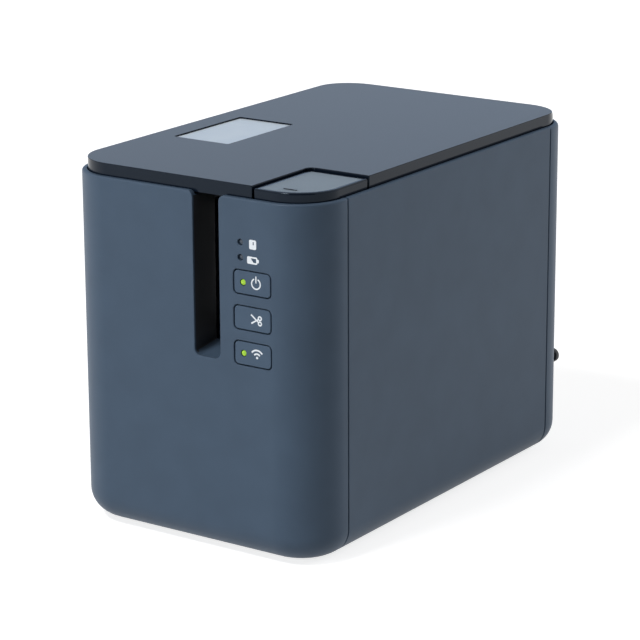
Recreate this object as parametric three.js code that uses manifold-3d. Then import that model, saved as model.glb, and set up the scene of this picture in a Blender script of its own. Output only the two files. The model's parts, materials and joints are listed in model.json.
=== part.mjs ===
// Desktop label maker for laminated tape, built as an assembly of separate pieces.
// Millimetres, +Z up, +X to the viewer's right, front face towards -Y.
// The origin lies on the table under the middle of the overall box.
import * as THREE from 'three';
import { mergeVertices } from 'three/addons/utils/BufferGeometryUtils.js';
import Module from 'manifold-3d';

const wasm = await Module();
wasm.setup();

// ---------------------------------------------------------------- driving dimensions

const BODY_W = 118; // across the side covers
const BODY_D = 192; // front face to rear face
const BODY_H = 146; // table to the top of the lid
const HOOK_REACH = 4; // the cord hook stands this far behind the rear face
const FOOT_LIFT = 1; // daylight under the base

const WALL = 2; // cover thickness
const CORNER_FRONT = 20; // plan radius of the front corners
const CORNER_REAR = 19; // plan radius of the rear corners
const UNDER_R = 11; // rounding all round the underside
const RIM_R = 0.9; // softened rim of the front and side covers
const REAR_RIM_R = 1.7; // fuller rounding on the rear cover's rim
const FRONT_WRAP = 22.2; // front face to the front seam, measured along the side
const REAR_WRAP = 20.4; // rear face to the rear seam
const SEAM = 0.5; // joint line between two covers

const LID_EDGE = 4.8; // lid edge that shows above the cover rims
const LID_SKIN = 2.2; // lid thickness
const LID_WALL = 1.8; // lid skirt thickness
const LID_DEPTH = 5.6; // lid top to skirt foot
const LID_BEVEL = 0.9; // bevel round the lid top
const HINGE_R = 2.8; // round rear edge of the lid, about the hinge axis
const HINGE_PIN_R = 1.2;
const HINGE_PIN_L = 14;
const HINGE_X = 38; // hinge lugs, either side of the middle
const HINGE_LUG_W = 6;
const HINGE_SKIN = 0.6; // of the lid, left over each lug

const WINDOW_X = -33.1; // viewer window, middle
const WINDOW_W = 26.4;
const WINDOW_FRONT = 55.3; // from the front face
const WINDOW_L = 44.5;
const WINDOW_PANE = 1.4;
const WINDOW_SINK = 0.5; // pane below the lid top

const BUTTON_W = 26; // release button, across
const BUTTON_L = 36.4; // release button, front to rear
const BUTTON_GAP = 0.9; // between the button and the lid
const BUTTON_SINK = 0.4; // button top below the lid top
const BUTTON_TRAVEL = 2;

const SLOT_X = 10; // tape exit slot, middle
const SLOT_W = 12;
const SLOT_H = 63.4; // slot floor to the cover rim
const SLOT_R = 2.6; // rounding of its bottom and top corners
const CHUTE_SETBACK = 4; // the walls behind the slot end this far in front of the blade plane
const CHUTE_WALL = 1.5;
const CHUTE_RISE = 3; // the chute floor climbs this much to the rear

const KEY_X = 31;
const KEY_W = 16.6;
const KEY_H = 9;
const KEY_R = 1.7;
const KEY_PITCH = 13.7;
const KEY_DROP = 36.6; // lid top to the middle of the top key
const KEY_GAP = 0.35;
const KEY_FLANGE = 1.1; // rim that keeps the key behind the wall
const KEY_TRAVEL = 0.8;
const KEY_NAMES = ['power_key', 'feed_cut_key', 'wireless_key'];
const LED_X = KEY_X - 5.2; // column of indicator lights
const LED_R = 1;
const STATUS_RISE = 15.2; // status light above the top key
const BATTERY_RISE = 9.4; // battery light above the top key
const BOARD_T = 1.5; // circuit board thickness
const BOARD_BACK = 8; // control board behind the front wall
const MAIN_BOARD_W = 92;
const MAIN_BOARD_Z = 7.2; // underside of the main board
const MAIN_BOARD_GAP = 6; // tape bay to the main board

const BAY_LEFT = 5; // tape bay wall from the left cover
const BAY_RIGHT = 30; // inner face of the bay's right wall
const BAY_FRONT = 8; // inner front wall of the bay, behind the blade plane
const BAY_L = 100; // bay, front to rear
const BAY_DEPTH = 51.5; // bay panel top to bay floor
const BAY_WALL = 2;
const PANEL_DROP = 8.5; // lid top to the top of the bay panel
const PANEL_T = 2;
const TAPE_GAP = 13; // opening that the tape runs through

const DECK_T = 1.6; // steel deck under the bay
const DECK_DROP = 10.4; // underside of the bay to the deck top
const LEG_R = 3.6;
const BASE_T = 2.2;
const FOOT_R = 6;
const FOOT_T = 2;
const SCREW_R = 1.4;
const SCREW_HEAD_R = 2.9;

const MODULE = 0.8; // gear module
const GEAR_W = 3.2; // gear face width
const GEAR_GAP = 0.6; // between gears that pass over each other
const PINION_TEETH = 12;
const REDUCTION_TEETH = 40;
const REDUCTION_PINION_TEETH = 16;
const IDLER_TEETH = 30;
const PLATEN_TEETH = 16;
const RIBBON_TEETH = 24;
const POST_R = 2;
const BORE_GAP = 0.3;

const PLATEN_X = 14.3;
const PLATEN_Y = 22; // platen roller behind the bay's front wall
const PLATEN_R = 5;
const ROLLER_SHAFT_R = 1.6;
const ROLLER_HEADROOM = 7.5; // bay panel top to the top of the rollers
const ROLLER_FOOT = 6; // rollers start this far above the bay floor
const FEED_ROLLER_R = 3.5;
const FEED_ROLLER_Y = 6; // feed roller behind the bay's front wall
const FEED_ROLLER_SHIFT = 1.1; // feed roller towards the head, from the platen's line
const HOLDER_PIVOT_Y = 52; // holder pivot behind the bay's front wall
const HOLDER_PLATE = 2.5;
const HOLDER_OPEN_DEG = 8;

const CUT_Y = 18; // blade plane behind the front face
const BLADE_T = 1.1;
const BLADE_HEADROOM = 1.2; // closed blade's tip below the bay panel
const BLADE_W = 9;
const BLADE_OPEN_DEG = 18;
const CUTTER_MODULE = 1;
const SECTOR_TEETH = 36; // of a full circle
const CUTTER_PINION_TEETH = 10;
const CUTTER_PLATE = 1.4;
const CUTTER_DROP = 5.7; // bay floor to the blade pivot

const MOTOR_R = 14;
const MOTOR_L = 22;
const CUTTER_MOTOR_R = 9.5;
const CUTTER_MOTOR_L = 24;

const PORT_FLOOR = 10.2; // underside of the ports above the table
const USB_X = -14;
const DC_X = 20;
const HOOK_X = 48.6;
const HOOK_Z = 36;
const HOOK_R = 3;

const CLEAR = 0.3; // between two pieces that meet
const FACETS = 12; // round pieces inside the body
const FINE_FACETS = 16; // round pieces that show

// ---------------------------------------------------------------- levels and places

const FRONT_Y = -(BODY_D + HOOK_REACH) / 2;
const REAR_Y = FRONT_Y + BODY_D;
const SIDE_X = BODY_W / 2;
const BASE_Z = FOOT_LIFT;
const RIM_Z = BODY_H - LID_EDGE;
const FRONT_SEAM_Y = FRONT_Y + FRONT_WRAP;
const REAR_SEAM_Y = REAR_Y - REAR_WRAP;
const LID_INSET = WALL + CLEAR;
const LID_FOOT_Z = BODY_H - LID_DEPTH;
const HINGE_Y = REAR_Y - LID_INSET - HINGE_R;
const HINGE_Z = BODY_H - HINGE_R;
const HINGE_LUG_R = HINGE_R - HINGE_SKIN - CLEAR;
const PANEL_TOP = BODY_H - PANEL_DROP;
const PANEL_FOOT = PANEL_TOP - PANEL_T;
const BAY_FLOOR = PANEL_TOP - BAY_DEPTH;
const BAY_UNDER = BAY_FLOOR - BAY_WALL;
const BAY_X0 = -SIDE_X + WALL + BAY_LEFT;
const BAY_X1 = BAY_RIGHT;
const CUTTER_Y = FRONT_Y + CUT_Y;
const BAY_Y0 = CUTTER_Y + BAY_FRONT;
const CHUTE_REAR = CUTTER_Y - CHUTE_SETBACK;
const BAY_Y1 = BAY_Y0 + BAY_L;
const DECK_TOP = BAY_UNDER - DECK_DROP;
const DECK_FOOT = DECK_TOP - DECK_T;
const LOW_GEAR_Z = DECK_TOP + GEAR_GAP;
const HIGH_GEAR_Z = LOW_GEAR_Z + GEAR_W + GEAR_GAP;
const SLOT_FLOOR = RIM_Z - SLOT_H;
const SLOT_X0 = SLOT_X - SLOT_W / 2;
const SLOT_X1 = SLOT_X + SLOT_W / 2;
const CUTOUT_X = SIDE_X - LID_INSET - BUTTON_W - BUTTON_GAP;
const CUTOUT_Y = FRONT_Y + LID_INSET + BUTTON_L + BUTTON_GAP;
const KEY_Z = KEY_NAMES.map((name, i) => BODY_H - KEY_DROP - i * KEY_PITCH);
const STATUS_Z = KEY_Z[0] + STATUS_RISE;
const BATTERY_Z = KEY_Z[0] + BATTERY_RISE;
const BOARD_Y = FRONT_Y + WALL + BOARD_BACK;
const PLATEN_AT = [PLATEN_X, BAY_Y0 + PLATEN_Y];
const FEED_AT = [PLATEN_X - FEED_ROLLER_SHIFT, BAY_Y0 + FEED_ROLLER_Y];
const PIVOT_AT = [PLATEN_X, BAY_Y0 + HOLDER_PIVOT_Y];
const ROLLER_Z = BAY_FLOOR + ROLLER_FOOT;
const ROLLER_L = PANEL_TOP - ROLLER_HEADROOM - ROLLER_Z;
const CUTTER_AT = [SLOT_X, BAY_FLOOR - CUTTER_DROP];
const BLADE_L = PANEL_FOOT - BLADE_HEADROOM - CUTTER_AT[1];

// ---------------------------------------------------------------- solid helpers

/** Turns a closed three.js geometry into a solid for joining and cutting. */
function solid(geometry) {
  const bare = geometry.index ? geometry.toNonIndexed() : geometry.clone();
  for (const name of Object.keys(bare.attributes)) {
    if (name !== 'position') bare.deleteAttribute(name);
  }
  const merged = mergeVertices(bare, 1e-5);
  const corners = merged.index.array;
  const faces = [];
  for (let i = 0; i < corners.length; i += 3) {
    const [a, b, c] = [corners[i], corners[i + 1], corners[i + 2]];
    if (a !== b && b !== c && c !== a) faces.push(a, b, c);
  }
  const vertProperties = new Float32Array(merged.attributes.position.array);
  const triVerts = new Uint32Array(faces);
  return new wasm.Manifold(new wasm.Mesh({ numProp: 3, vertProperties, triVerts }));
}

const join = (first, ...rest) => rest.reduce((sum, next) => sum.add(next), first);
const cut = (first, ...rest) => rest.reduce((sum, next) => sum.subtract(next), first);

function box(x0, x1, y0, y1, z0, z1) {
  const block = new THREE.BoxGeometry(x1 - x0, y1 - y0, z1 - z0);
  return solid(block.translate((x0 + x1) / 2, (y0 + y1) / 2, (z0 + z1) / 2));
}

/** Round bar along Z. */
function rodZ([x, y], radius, z0, z1, facets = FACETS) {
  const bar = new THREE.CylinderGeometry(radius, radius, z1 - z0, facets).rotateX(Math.PI / 2);
  return solid(bar.translate(x, y, (z0 + z1) / 2));
}

/** Round bar along Y, centred on (x, z). */
function rodY([x, z], radius, y0, y1, facets = FACETS) {
  const bar = new THREE.CylinderGeometry(radius, radius, y1 - y0, facets);
  return solid(bar.translate(x, (y0 + y1) / 2, z));
}

/** Round bar along X, centred on (y, z). */
function rodX([y, z], radius, x0, x1, facets = FACETS) {
  const bar = new THREE.CylinderGeometry(radius, radius, x1 - x0, facets).rotateZ(Math.PI / 2);
  return solid(bar.translate((x0 + x1) / 2, y, z));
}

const asShape = (outline) =>
  outline instanceof THREE.Shape ? outline : new THREE.Shape(outline.map((p) => new THREE.Vector2(...p)));

function extruded(outline, depth, curveSegments = 6) {
  return new THREE.ExtrudeGeometry(asShape(outline), { depth, bevelEnabled: false, curveSegments });
}

/** Plan outline (x, y) raised from z0 to z1. */
function prismZ(outline, z0, z1, curveSegments) {
  return solid(extruded(outline, z1 - z0, curveSegments).translate(0, 0, z0));
}

/** Side outline (y, z) carried from x0 to x1. */
function prismX(outline, x0, x1, curveSegments) {
  const turn = new THREE.Matrix4().makeBasis(
    new THREE.Vector3(0, 1, 0), new THREE.Vector3(0, 0, 1), new THREE.Vector3(1, 0, 0));
  return solid(extruded(outline, x1 - x0, curveSegments).applyMatrix4(turn).translate(x0, 0, 0));
}

/** Front outline (x, z) carried from y0 to y1. */
function prismY(outline, y0, y1, curveSegments) {
  const turn = new THREE.Matrix4().makeBasis(
    new THREE.Vector3(1, 0, 0), new THREE.Vector3(0, 0, 1), new THREE.Vector3(0, -1, 0));
  return solid(extruded(outline, y1 - y0, curveSegments).applyMatrix4(turn).translate(0, y1, 0));
}

/** Rectangle with round corners; radii run anticlockwise from the low-u, low-v corner. */
function roundRect(u0, u1, v0, v1, radii) {
  const [a, b, c, d] = Array.isArray(radii) ? radii : [radii, radii, radii, radii];
  const shape = new THREE.Shape();
  const corner = (u, v, r, start) => {
    if (r > 0) shape.absarc(u, v, r, start, start + Math.PI / 2, false);
    else shape.lineTo(u, v);
  };
  shape.moveTo(u0 + a, v0);
  corner(u1 - b, v0 + b, b, -Math.PI / 2);
  corner(u1 - c, v1 - c, c, 0);
  corner(u0 + d, v1 - d, d, Math.PI / 2);
  corner(u0 + a, v0 + a, a, Math.PI);
  return shape;
}

/** Closed skin through a stack of rings that all have the same number of points. */
function loft(rings) {
  const count = rings[0].length;
  const position = rings.flat(2);
  const index = [];
  for (let level = 0; level + 1 < rings.length; level += 1) {
    for (let i = 0; i < count; i += 1) {
      const [a, b] = [level * count + i, level * count + ((i + 1) % count)];
      index.push(a, b, b + count, a, b + count, a + count);
    }
  }
  const top = (rings.length - 1) * count;
  for (let i = 1; i + 1 < count; i += 1) index.push(0, i + 1, i, top, top + i, top + i + 1);
  const skin = new THREE.BufferGeometry();
  skin.setAttribute('position', new THREE.Float32BufferAttribute(position, 3));
  skin.setIndex(index);
  return solid(skin);
}

const CORNER_STEPS = 8; // visible corners
const COARSE_STEPS = 4; // faces that nothing shows

/** Ring at height z round a rectangle: half width, front and rear y, front and rear radii. */
function planRing(halfWidth, y0, y1, frontR, rearR, z, steps = CORNER_STEPS) {
  const corners = [
    [halfWidth - frontR, y0 + frontR, frontR, -Math.PI / 2],
    [halfWidth - rearR, y1 - rearR, rearR, 0],
    [-halfWidth + rearR, y1 - rearR, rearR, Math.PI / 2],
    [-halfWidth + frontR, y0 + frontR, frontR, Math.PI],
  ];
  return corners.flatMap(([x, y, r, start]) =>
    Array.from({ length: steps + 1 }, (unused, i) => {
      const angle = start + (i / steps) * (Math.PI / 2);
      return [x + r * Math.cos(angle), y + r * Math.sin(angle), z];
    }));
}

/** The body's own plan, drawn in by inset. */
const bodyRing = (inset, z, steps) => planRing(
  SIDE_X - inset, FRONT_Y + inset, REAR_Y - inset,
  Math.max(CORNER_FRONT - inset, 1), Math.max(CORNER_REAR - inset, 1), z, steps);

/** The body's outer form drawn in by inset: round underneath, rounded by rimR at the top. */
function bodyForm(inset, z0, z1, rimR, steps, underSteps) {
  const under = UNDER_R - inset;
  const rings = [];
  for (let i = 0; i <= underSteps; i += 1) {
    const angle = (i / underSteps) * (Math.PI / 2);
    const drawnIn = inset + under * (1 - Math.sin(angle));
    rings.push(bodyRing(drawnIn, z0 + under * (1 - Math.cos(angle)), steps));
  }
  const rimSteps = rimR > 0 ? 2 : 0;
  for (let i = 0; i <= rimSteps; i += 1) {
    const angle = rimSteps > 0 ? (i / rimSteps) * (Math.PI / 2) : 0;
    const level = z1 - rimR * (1 - Math.sin(angle));
    rings.push(bodyRing(inset + rimR * (1 - Math.cos(angle)), level, steps));
  }
  return loft(rings);
}

const everywhere = 2 * (BODY_W + BODY_D + BODY_H);
const sliceY = (form, y0, y1) =>
  form.intersect(box(-everywhere, everywhere, y0, y1, -everywhere, everywhere));

// ---------------------------------------------------------------- gears

const pitchRadius = (teeth, module = MODULE) => (teeth * module) / 2;

/** Involute teeth as a closed outline; one tooth is centred on the angle phase. */
function gearOutline(teeth, module, phase, [cx, cy] = [0, 0], backlash = 0.16) {
  const pressure = (20 * Math.PI) / 180;
  const involute = (angle) => Math.tan(angle) - angle;
  const pitch = pitchRadius(teeth, module);
  const base = pitch * Math.cos(pressure);
  const root = pitch - 1.25 * module;
  const tip = pitch + 0.92 * module;
  const halfAtPitch = Math.PI / (2 * teeth) - backlash / (2 * pitch);
  const halfAt = (radius) => {
    const slope = radius > base ? involute(Math.acos(base / radius)) : 0;
    return halfAtPitch + involute(pressure) - slope;
  };
  const foot = Math.min(halfAt(base), 0.44 * ((2 * Math.PI) / teeth));
  const flank = [[root, foot], ...(teeth < 14 ? [[pitch, halfAt(pitch)]] : []), [tip, halfAt(tip)]];
  const outline = [];
  for (let tooth = 0; tooth < teeth; tooth += 1) {
    const middle = phase + (tooth / teeth) * 2 * Math.PI;
    for (const [radius, half] of flank) outline.push([radius, middle - half]);
    for (const [radius, half] of [...flank].reverse()) outline.push([radius, middle + half]);
  }
  return outline.map(([radius, angle]) =>
    [cx + radius * Math.cos(angle), cy + radius * Math.sin(angle)]);
}

/** Phase of the second gear, so that its gap takes the first gear's tooth along direction. */
function meshedPhase(direction, teeth, phase, otherTeeth, module = MODULE) {
  const halfPitch = (Math.PI * module) / 2;
  const slip = pitchRadius(teeth, module) * (phase - direction) + halfPitch;
  return direction + Math.PI - slip / pitchRadius(otherTeeth, module);
}

const polar = ([x, y], distance, angle) => [x + distance * Math.cos(angle), y + distance * Math.sin(angle)];
const centres = (a, b, module = MODULE) => pitchRadius(a, module) + pitchRadius(b, module);

// The train lies between the deck and the bay. Directions run from one gear to the next.
const IDLER_DIRECTION = Math.PI; // platen gear to idler
const RIBBON_DIRECTION = (105 * Math.PI) / 180; // idler to ribbon gear
const REDUCTION_DIRECTION = Math.PI; // idler to reduction gear
const MOTOR_DIRECTION = (-80 * Math.PI) / 180; // reduction gear to motor pinion

const IDLER_AT = polar(PLATEN_AT, centres(PLATEN_TEETH, IDLER_TEETH), IDLER_DIRECTION);
const RIBBON_AT = polar(IDLER_AT, centres(IDLER_TEETH, RIBBON_TEETH), RIBBON_DIRECTION);
const REDUCTION_AT = polar(
  IDLER_AT, centres(IDLER_TEETH, REDUCTION_PINION_TEETH), REDUCTION_DIRECTION);
const MOTOR_AT = polar(REDUCTION_AT, centres(REDUCTION_TEETH, PINION_TEETH), MOTOR_DIRECTION);

const IDLER_PHASE = 0;
const PLATEN_PHASE = meshedPhase(IDLER_DIRECTION - Math.PI, IDLER_TEETH, IDLER_PHASE, PLATEN_TEETH);
const RIBBON_PHASE = meshedPhase(RIBBON_DIRECTION, IDLER_TEETH, IDLER_PHASE, RIBBON_TEETH);
const SMALL_PHASE = meshedPhase(
  REDUCTION_DIRECTION, IDLER_TEETH, IDLER_PHASE, REDUCTION_PINION_TEETH);
const PINION_PHASE = meshedPhase(MOTOR_DIRECTION, REDUCTION_TEETH, 0, PINION_TEETH);

const CUTTER_DIRECTION = (-65 * Math.PI) / 180; // blade pivot to the cutter pinion
const CUTTER_PINION_AT = polar(
  CUTTER_AT, centres(SECTOR_TEETH, CUTTER_PINION_TEETH, CUTTER_MODULE), CUTTER_DIRECTION);

// ---------------------------------------------------------------- materials

const finish = (color, roughness, metalness = 0) =>
  new THREE.MeshStandardMaterial({ color, roughness, metalness });
const MATERIALS = {
  cover: finish(0x465464, 0.5),
  lid: finish(0x30353b, 0.38),
  dark: finish(0x24272b, 0.6),
  bay: finish(0x55595e, 0.6),
  pane: finish(0xb7c4d1, 0.15),
  key: finish(0x333f4c, 0.5),
  light: finish(0x8fd14a, 0.25),
  lens: finish(0x39424a, 0.25),
  steel: finish(0xb9bcbf, 0.3, 1),
  zinc: finish(0x9a9c9b, 0.4, 1),
  aluminium: finish(0xa8abad, 0.35, 1),
  rubber: finish(0x202122, 0.85),
  acetal: finish(0xe2ded2, 0.45),
  board: finish(0x1f5b3a, 0.5),
  ceramic: finish(0xd9d4c4, 0.5),
};

const group = new THREE.Group();

/** Adds one finished solid to the assembly as a named mesh. */
function place(name, form, material) {
  const skin = form.getMesh();
  const geometry = new THREE.BufferGeometry();
  geometry.setAttribute('position', new THREE.Float32BufferAttribute(skin.vertProperties, 3));
  geometry.setIndex(Array.from(skin.triVerts));
  const flat = geometry.toNonIndexed();
  flat.computeVertexNormals();
  const mesh = new THREE.Mesh(flat, MATERIALS[material].clone());
  mesh.name = name;
  group.add(mesh);
}

// ---------------------------------------------------------------- covers

/** Flat middle of the underside, where the base tray sits between the covers' lips. */
const basePlan = (grow, z) => bodyRing(UNDER_R - grow, z, COARSE_STEPS);

/** Shell of the whole body: the covers are slices of it. */
function coverShell(rimR) {
  const outer = bodyForm(0, BASE_Z, RIM_Z, rimR, CORNER_STEPS, 4);
  const inner = bodyForm(WALL, BASE_Z + WALL, RIM_Z + WALL, 0, CORNER_STEPS, 3);
  const baseHole = loft([basePlan(CLEAR, BASE_Z - 1), basePlan(CLEAR, BASE_Z + WALL + 1)]);
  return cut(outer, inner, baseHole);
}

/** Slot outline seen from the front, open at the top through the rim. */
function slotOutline() {
  const shape = new THREE.Shape();
  const top = RIM_Z + 1;
  shape.moveTo(SLOT_X0 - SLOT_R, top);
  shape.lineTo(SLOT_X0 - SLOT_R, RIM_Z);
  shape.absarc(SLOT_X0 - SLOT_R, RIM_Z - SLOT_R, SLOT_R, Math.PI / 2, 0, true);
  shape.lineTo(SLOT_X0, SLOT_FLOOR + SLOT_R);
  shape.absarc(SLOT_X0 + SLOT_R, SLOT_FLOOR + SLOT_R, SLOT_R, Math.PI, 1.5 * Math.PI, false);
  shape.absarc(SLOT_X1 - SLOT_R, SLOT_FLOOR + SLOT_R, SLOT_R, 1.5 * Math.PI, 2 * Math.PI, false);
  shape.lineTo(SLOT_X1, RIM_Z - SLOT_R);
  shape.absarc(SLOT_X1 + SLOT_R, RIM_Z - SLOT_R, SLOT_R, Math.PI, Math.PI / 2, true);
  shape.lineTo(SLOT_X1 + SLOT_R, top);
  return shape;
}

/** Walls and climbing floor that lead the tape out through the front cover. */
function tapeChute() {
  const [front, rear] = [FRONT_Y + WALL / 2, CHUTE_REAR];
  const top = LID_FOOT_Z - 1;
  const side = (x0) => box(x0, x0 + CHUTE_WALL, front, rear, SLOT_FLOOR - CHUTE_WALL, top);
  const floor = prismX([
    [front, SLOT_FLOOR - CHUTE_WALL], [rear, SLOT_FLOOR - CHUTE_WALL],
    [rear, SLOT_FLOOR + CHUTE_RISE], [front + WALL, SLOT_FLOOR + 0.2], [front, SLOT_FLOOR - 0.1],
  ], SLOT_X0 - CHUTE_WALL / 2, SLOT_X1 + CHUTE_WALL / 2);
  return join(side(SLOT_X0 - CHUTE_WALL), side(SLOT_X1), floor);
}

/** Outline of the key at height z, grown by grow. */
const keyOutline = (z, grow, radius) => roundRect(KEY_X - KEY_W / 2 - grow, KEY_X + KEY_W / 2 + grow,
  z - KEY_H / 2 - grow, z + KEY_H / 2 + grow, radius);

const BOSS_R = 2.6;
const BOARD_BOSSES = [[KEY_X + 7, KEY_Z[0] + 16.1], [KEY_X - 7, KEY_Z[2] - 10]];

function frontCover() {
  let form = sliceY(coverShell(RIM_R), FRONT_Y - 1, FRONT_SEAM_Y - SEAM / 2);
  form = cut(form, prismY(slotOutline(), FRONT_Y - 1, FRONT_Y + WALL + 1));
  form = join(form, tapeChute());
  for (const z of KEY_Z) {
    form = cut(form, prismY(keyOutline(z, KEY_GAP, KEY_R + KEY_GAP), FRONT_Y - 1, BOARD_Y, 3),
      prismY(keyOutline(z, KEY_FLANGE + CLEAR, KEY_R), FRONT_Y + WALL + 0.1, BOARD_Y, 3));
  }
  for (const z of [STATUS_Z, BATTERY_Z]) {
    const hole = rodY([LED_X, z], LED_R + 0.2, FRONT_Y - 1, FRONT_Y + WALL + 1);
    form = cut(form, hole);
  }
  for (const [x, z] of BOARD_BOSSES) {
    const boss = rodY([x, z], BOSS_R, FRONT_Y + WALL - 0.5, BOARD_Y - CLEAR);
    form = join(form, cut(boss, rodY([x, z], 0.9, FRONT_Y + WALL + 1, BOARD_Y, 8)));
  }
  place('front_cover', form, 'cover');
}

/** Side cover: slice of the shell with three stiffening ribs inside. */
function sideCover(name, side) {
  const slice = sliceY(coverShell(RIM_R), FRONT_SEAM_Y + SEAM / 2, REAR_SEAM_Y - SEAM / 2);
  const half = side > 0 ? box(1, everywhere, -everywhere, everywhere, -1, everywhere)
    : box(-everywhere, -1, -everywhere, everywhere, -1, everywhere);
  let form = slice.intersect(half);
  const inner = side * (SIDE_X - WALL);
  const ribs = 3;
  for (let i = 0; i < ribs; i += 1) {
    const y = FRONT_SEAM_Y + ((i + 1) / (ribs + 1)) * (REAR_SEAM_Y - FRONT_SEAM_Y);
    const reach = [inner - side * 2.4, inner + side * 0.5].sort((a, b) => a - b);
    form = join(form, box(...reach, y - 0.8, y + 0.8, BASE_Z + UNDER_R, PANEL_FOOT - 4));
  }
  place(name, form, 'cover');
}

const PORT_H = 11.6;
const usbOpening = [USB_X - 6.6, USB_X + 6.6, PORT_FLOOR - CLEAR, PORT_FLOOR + PORT_H + CLEAR];
const dcOpening = [DC_X - 6.3, DC_X + 6.3, PORT_FLOOR - CLEAR, PORT_FLOOR + PORT_H + CLEAR];

function rearCover() {
  let form = sliceY(coverShell(REAR_RIM_R), REAR_SEAM_Y + SEAM / 2, REAR_Y + 1);
  for (const [x0, x1, z0, z1] of [usbOpening, dcOpening]) {
    form = cut(form, prismY(roundRect(x0, x1, z0, z1, 0.8), REAR_Y - 6, REAR_Y + 1, 3));
  }
  // ventilation louvres above the ports
  const louvres = 6;
  for (let i = 0; i < louvres; i += 1) {
    const x = (i - (louvres - 1) / 2) * 7;
    form = cut(form, box(x - 1, x + 1, REAR_Y - 4, REAR_Y + 1, BASE_Z + 52, BASE_Z + 82));
  }
  form = cut(form, rodY([HOOK_X, HOOK_Z], 2 + BORE_GAP, REAR_Y - 12, REAR_Y + 1));
  place('rear_cover', form, 'cover');
}

/** Peg at the rear that the adapter lead is looped over. */
function cordHook() {
  const surface = REAR_Y - CORNER_REAR
    + Math.sqrt(CORNER_REAR ** 2 - (HOOK_X - SIDE_X + CORNER_REAR) ** 2);
  const tip = REAR_Y + HOOK_REACH;
  const stem = rodY([HOOK_X, HOOK_Z], 2, surface - 6.5, tip - 1);
  const knob = solid(new THREE.LatheGeometry([
    new THREE.Vector2(0, tip), new THREE.Vector2(HOOK_R - 1, tip), new THREE.Vector2(HOOK_R, tip - 1),
    new THREE.Vector2(HOOK_R, tip - 2.4), new THREE.Vector2(0, tip - 2.4),
  ].reverse(), FACETS).translate(HOOK_X, 0, HOOK_Z));
  const collar = rodY([HOOK_X, HOOK_Z], HOOK_R, surface - 6.8, surface - 5.4);
  place('cord_hook', join(stem, knob, collar), 'dark');
}

// ---------------------------------------------------------------- base

const LEGS = [
  [BAY_X0 + 12, FRONT_Y + 46], [BAY_X0 + 12, BAY_Y1 - 4], [BAY_X1 - 5, BAY_Y1 - 4],
  [BAY_X1 - 5, FRONT_Y + 56]];
const LEG_FOOT = BASE_Z + BASE_T + 1.7;
const FEET = [-1, 1].flatMap((side) => [FRONT_Y + 26, REAR_Y - 24].map((y) => [side * 38, y]));
const MAIN_BOARD = [-MAIN_BOARD_W / 2, MAIN_BOARD_W / 2, BAY_Y1 + MAIN_BOARD_GAP, REAR_Y - 6.5,
  MAIN_BOARD_Z, MAIN_BOARD_Z + BOARD_T];
const BOARD_POSTS = [-1, 1].flatMap((side) =>
  [MAIN_BOARD[2] + 4, MAIN_BOARD[3] - 14].map((y) => [side * 42, y]));

function baseTray() {
  const top = BASE_Z + BASE_T;
  let form = loft([basePlan(0, BASE_Z), basePlan(0, top)]);
  // rim that rises inside the covers and folds out over their lips
  const lipFoot = BASE_Z + WALL + CLEAR + 0.5;
  form = join(form, loft([basePlan(0, top - 0.5), basePlan(0, lipFoot + 1.4)]),
    loft([basePlan(1.8, lipFoot), basePlan(1.8, lipFoot + 1.4)]));
  form = cut(form, loft([basePlan(-2, top), basePlan(-2, top + 5)]));
  for (const at of LEGS) {
    form = join(form, rodZ(at, LEG_R + 1.4, BASE_Z + 1, LEG_FOOT - CLEAR));
    form = cut(form, rodZ(at, SCREW_HEAD_R + CLEAR, BASE_Z - 1, BASE_Z + 1.8));
    form = cut(form, rodZ(at, SCREW_R + CLEAR, BASE_Z - 1, LEG_FOOT + 1, 8));
  }
  for (const at of FEET) form = cut(form, rodZ(at, FOOT_R + 0.2, BASE_Z - 1, FOOT_T + 0.1));
  for (const at of BOARD_POSTS) {
    form = join(form, rodZ(at, 3, BASE_Z + 1, MAIN_BOARD[4] - CLEAR, 8));
  }
  place('base_tray', form, 'dark');
  FEET.forEach((at, i) => place(`foot_${i + 1}`, rodZ(at, FOOT_R, 0, FOOT_T), 'rubber'));
  LEGS.forEach((at, i) => {
    const head = rodZ(at, SCREW_HEAD_R, BASE_Z + 0.2, BASE_Z + 1.5);
    const drive = join(
      box(at[0] - 1.6, at[0] + 1.6, at[1] - 0.35, at[1] + 0.35, BASE_Z, BASE_Z + 0.8),
      box(at[0] - 0.35, at[0] + 0.35, at[1] - 1.6, at[1] + 1.6, BASE_Z, BASE_Z + 0.8));
    const shank = rodZ(at, SCREW_R, BASE_Z + 1.4, LEG_FOOT + 8, 8);
    place(`base_screw_${i + 1}`, join(cut(head, drive), shank), 'zinc');
  });
}

// ---------------------------------------------------------------- mechanism frame and train

const STANDOFFS = [
  [BAY_X0 + 4, BAY_Y0 + 4], [BAY_X0 + 4, BAY_Y1 - 12], [BAY_X1 - 4, BAY_Y1 - 12],
  [BAY_X1 - 4, BAY_Y0 + 4]];

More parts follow.
